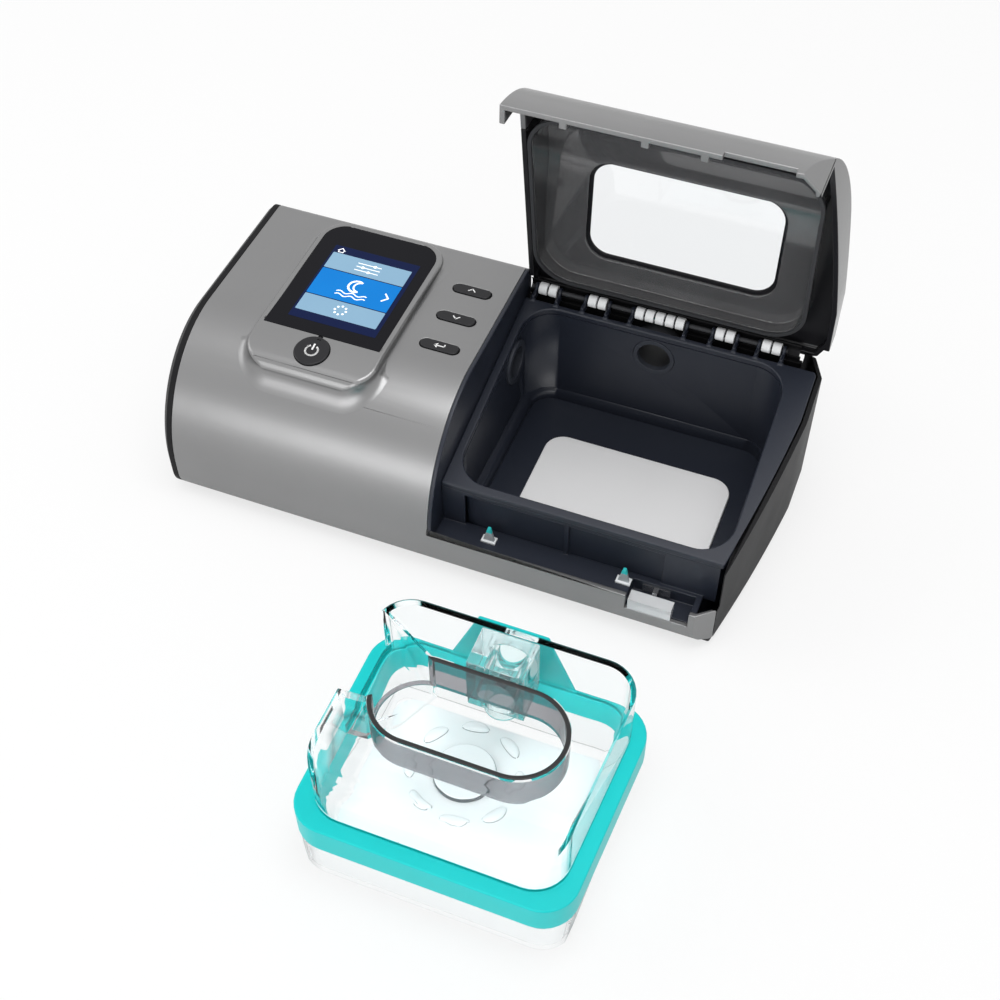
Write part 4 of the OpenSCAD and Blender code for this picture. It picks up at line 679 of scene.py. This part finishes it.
# ---- Lid ----
# A dark smoked shell with a silver front trim and a clear window. Under it a
# glossy inner frame carries the gasket, and white knuckles join it to the deck.
shell_smoke = finish("shell_smoke", (0.016, 0.016, 0.018), (0.010, 0.010, 0.012), 0.16, 0.06,
                     cloud=28, grain=4200, bump=0.02, shine=0.3)
piece("lid_cover", moulded("lid_shell", 0.3, segments=3), shell_smoke, "lid", ["lid_shell"])
piece("lid_front", moulded("lid_trim", 0.35, segments=3), silver_paint, "lid", ["lid_trim"])
window_clear = finish("window_clear", (0.96, 0.97, 0.98), (0.93, 0.95, 0.96), 0.02, 0.02,
                      cloud=20, grain=5000, bump=0.0, glass=1.0, ior=1.45)
piece("lid_pane", moulded("lid_window", 0.0), window_clear, "lid", ["lid_window"])
liner_gloss = finish("liner_gloss", (0.42, 0.42, 0.43), (0.28, 0.28, 0.29), 0.04, 0.03,
                     cloud=40, grain=3000, bump=0.01, glass=0.8, ior=1.5, coat=0.6,
                     edge=(0.02, 0.02, 0.022, 0.45))
piece("lid_frame", moulded("lid_liner", 0.4, segments=3), liner_gloss, "lid", ["lid_liner"])
piece("lid_gasket", moulded("lid_seal", 0.2), sleeve_rubber, "lid", ["lid_seal"])
knuckle_white = finish("knuckle_white", (0.92, 0.93, 0.94), (0.86, 0.87, 0.88), 0.34, 0.06,
                       cloud=150, grain=2800, bump=0.05)
piece("knuckles", moulded("lid_hinge", 0.3, segments=3), knuckle_white, "lid", ["lid_hinge"])
low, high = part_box("hinge_rod")
axis_y, axis_z, rod_middle = (low[1] + high[1]) / 2, (low[2] + high[2]) / 2, (low[0] + high[0]) / 2
guard_radius, guard_thick, guard_from, guard_sweep = 3.2 * mm, 0.4 * mm, -62, 118
guard_left, guard_length = low[0] - 1.2 * mm, high[0] - low[0] + 6.2 * mm
bm = bmesh.new()
guard = bmesh.ops.create_grid(bm, x_segments=1, y_segments=12, size=0.5)["verts"]
for vert in guard:
    # a thin guard that curls round the back of the knuckles
    turn = radians(guard_from + guard_sweep * (vert.co.y + 0.5))
    along = vert.co.x + 0.5
    vert.co = (guard_left + along * guard_length,
               axis_y + guard_radius * cos(turn), axis_z + guard_radius * sin(turn))
bmesh.ops.recalc_face_normals(bm, faces=bm.faces)
bmesh.ops.solidify(bm, geom=bm.faces[:], thickness=guard_thick)
bmesh.ops.recalc_face_normals(bm, faces=bm.faces)
piece("hinge_guard", bm, cap_black, "lid")
# a low sill on the back wall closes the slit under the rod
sill_low, sill_high, sill_depth = axis_z - 5.6 * mm, axis_z - 3.3 * mm, 1.0 * mm
bm = bmesh.new()
block(bm, (high[0] - low[0] + 7.6 * mm, sill_depth, sill_high - sill_low),
      (rod_middle + 1.8 * mm, axis_y + 1.95 * mm, (sill_low + sill_high) / 2))
rounded(bm, bm.edges[:], 0.25 * mm, 3)
piece("hinge_sill", bm, cap_black, "machine")

# ---- Tank band and floor ----
# A soft teal band seals the clear cover to the clear tray, and stands on the
# tray's rim. The white floor plate has a round boss and a ring of pressed beads.
band_teal = finish("band_teal", (0.006, 0.60, 0.60), (0.004, 0.53, 0.53), 0.34, 0.06,
                   cloud=24, grain=2600, bump=0.04, shine=0.25)
piece("tank_seal", moulded("tank_band", 0.7, segments=4), band_teal, "tank", ["tank_band"])
floor_white = finish("floor_white", (0.86, 0.87, 0.88), (0.80, 0.81, 0.83), 0.26, 0.08,
                     cloud=50, grain=2200, bump=0.05)
low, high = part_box("tank_plate")
sheet_thick, sheet_corner = 1.2 * mm, 9 * mm
sheet_top = low[2] + sheet_thick
boss_x, boss_y, boss_radius = 47.9 * mm, -85.4 * mm, 12.5 * mm
boss_rise, boss_round = 2.5 * mm, 0.9 * mm
sunk, beads, bead_ring, bead_turn = 0.2 * mm, 8, 21.8 * mm, 10
bead_size, bead_bend = (5.6 * mm, 2.5 * mm, 1.0 * mm), 24
bm = bmesh.new()
block(bm, (high[0] - low[0], high[1] - low[1], sheet_thick),
      ((low[0] + high[0]) / 2, (low[1] + high[1]) / 2, low[2] + sheet_thick / 2))
upright = [e for e in bm.edges if abs(e.verts[0].co.z - e.verts[1].co.z) > 1 * mm]
rounded(bm, upright, sheet_corner, 8)
boss = bmesh.ops.create_circle(bm, cap_ends=True, segments=64, radius=boss_radius)["verts"]
bmesh.ops.translate(bm, vec=(boss_x, boss_y, sheet_top - sunk), verts=boss)
foot = boss[0].link_faces[0]
raised = bmesh.ops.extrude_face_region(bm, geom=[foot], use_keep_orig=True)
crown = [v for v in raised["geom"] if isinstance(v, bmesh.types.BMVert)]
bmesh.ops.translate(bm, vec=(0, 0, boss_rise + sunk), verts=crown)
rounded(bm, list({e for v in crown for e in v.link_edges if e.other_vert(v) in crown}),
        boss_round, 4)
for number in range(beads):
    # a bean shaped bead, bent round the boss
    bean = bmesh.ops.create_uvsphere(bm, u_segments=28, v_segments=12, radius=1)["verts"]
    bmesh.ops.scale(bm, vec=bead_size, verts=bean)
    for vert in bean:
        vert.co.y -= bead_bend * vert.co.x ** 2
    bmesh.ops.translate(bm, vec=(0, bead_ring, 0), verts=bean)
    turn = radians(360 / beads * number + bead_turn)
    bmesh.ops.rotate(bm, verts=bean, matrix=Matrix.Rotation(turn, 3, "Z"))
    bmesh.ops.translate(bm, vec=(boss_x, boss_y, sheet_top), verts=bean)
bmesh.ops.recalc_face_normals(bm, faces=bm.faces)
flank_shade_grey = finish("flank_shade_grey", (0.12, 0.13, 0.14), (0.08, 0.09, 0.10), 0.3, 0.06,
                   cloud=90, grain=2200, bump=0.04)
for face in bm.faces:
    # the steep flanks of the boss and the beads get a painted shade, a grey that reads as fine
    # dark lines
    if face.calc_center_median().z > sheet_top + 0.05 * mm and face.normal.z < 0.6:
        face.material_index = 1
piece("tank_floor", bm, [floor_white, flank_shade_grey], "tank", ["tank_plate"])
tray_clear = finish("tray_clear", (0.98, 0.99, 0.992), (0.95, 0.97, 0.975), 0.03, 0.03,
                    cloud=30, grain=3000, bump=0.0, glass=0.97, ior=1.16,
                    edge=(0.03, 0.05, 0.06, 0.62))
piece("tank_tray_skin", moulded("tank_tray", 0.6, segments=3), tray_clear, "tank", ["tank_tray"])

# ---- Tank cover ----
# Clear hard plastic, lifted off the band to fill the tank. An air notch enters
# at its left, a dark oval baffle hangs under it, and an outlet block sits behind.
cover_clear = finish("cover_clear", (0.99, 0.997, 0.997), (0.97, 0.985, 0.988), 0.02, 0.02,
                     cloud=30, grain=3000, bump=0.0, glass=1.0, ior=1.14,
                     edge=(0.03, 0.16, 0.17, 0.80))
rim_highlight_teal = finish("rim_highlight_teal", (0.17, 0.80, 0.80), (0.12, 0.72, 0.73), 0.06, 0.03,
                   cloud=30, grain=3000, bump=0.0, glass=0.9, ior=1.12,
                   edge=(0.01, 0.24, 0.25, 0.55))
low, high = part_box("tank_cover")
dome_middle = (Vector(low) + Vector(high)) / 2
dome_top = high[2]


def on_dome_rim(edge):
    """True where the cover's outer wall turns over into its flat top."""
    at = (edge.verts[0].co + edge.verts[1].co) / 2
    walls = [f for f in edge.link_faces if abs(f.normal.z) < 0.3]
    outward = at - dome_middle
    outward.z = 0
    return at.z > dome_top - 0.05 * mm and bool(walls) and walls[0].normal.dot(outward) > 0


# the rounded rim is painted teal, a painted highlight along the edge of the clear plastic
dome = moulded("tank_cover", 0.9, segments=4, edge_slot=1, only=on_dome_rim)
piece("tank_dome", dome, [cover_clear, rim_highlight_teal], "tank_lid", ["tank_cover"])
baffle_smoke = finish("baffle_smoke", (0.46, 0.45, 0.47), (0.36, 0.35, 0.37), 0.06, 0.03,
                      cloud=60, grain=3000, bump=0.0, glass=0.9, ior=1.12,
                      edge=(0.01, 0.01, 0.012, 0.5))
baffle_rim = finish("baffle_rim", (0.012, 0.012, 0.013), (0.008, 0.008, 0.009), 0.1, 0.04,
                    cloud=60, grain=3000, bump=0.02, coat=0.3)
oval = moulded("tank_baffle", 0.35, segments=3)
rim_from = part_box("tank_baffle")[1][2] - 0.5 * mm
for face in oval.faces:
    # its rim is near black
    if face.calc_center_median().z > rim_from:
        face.material_index = 1
piece("oval_wall", oval, [baffle_smoke, baffle_rim], "tank_lid", ["tank_baffle"])
block_clear = finish("block_clear", (0.86, 0.96, 0.96), (0.78, 0.91, 0.91), 0.04, 0.03,
                     cloud=60, grain=3000, bump=0.01, glass=0.95, ior=1.3,
                     edge=(0.01, 0.05, 0.06, 0.5))
piece("outlet_block", moulded("tank_outlet", 0.4, segments=3), block_clear, "tank_lid",
      ["tank_outlet"])
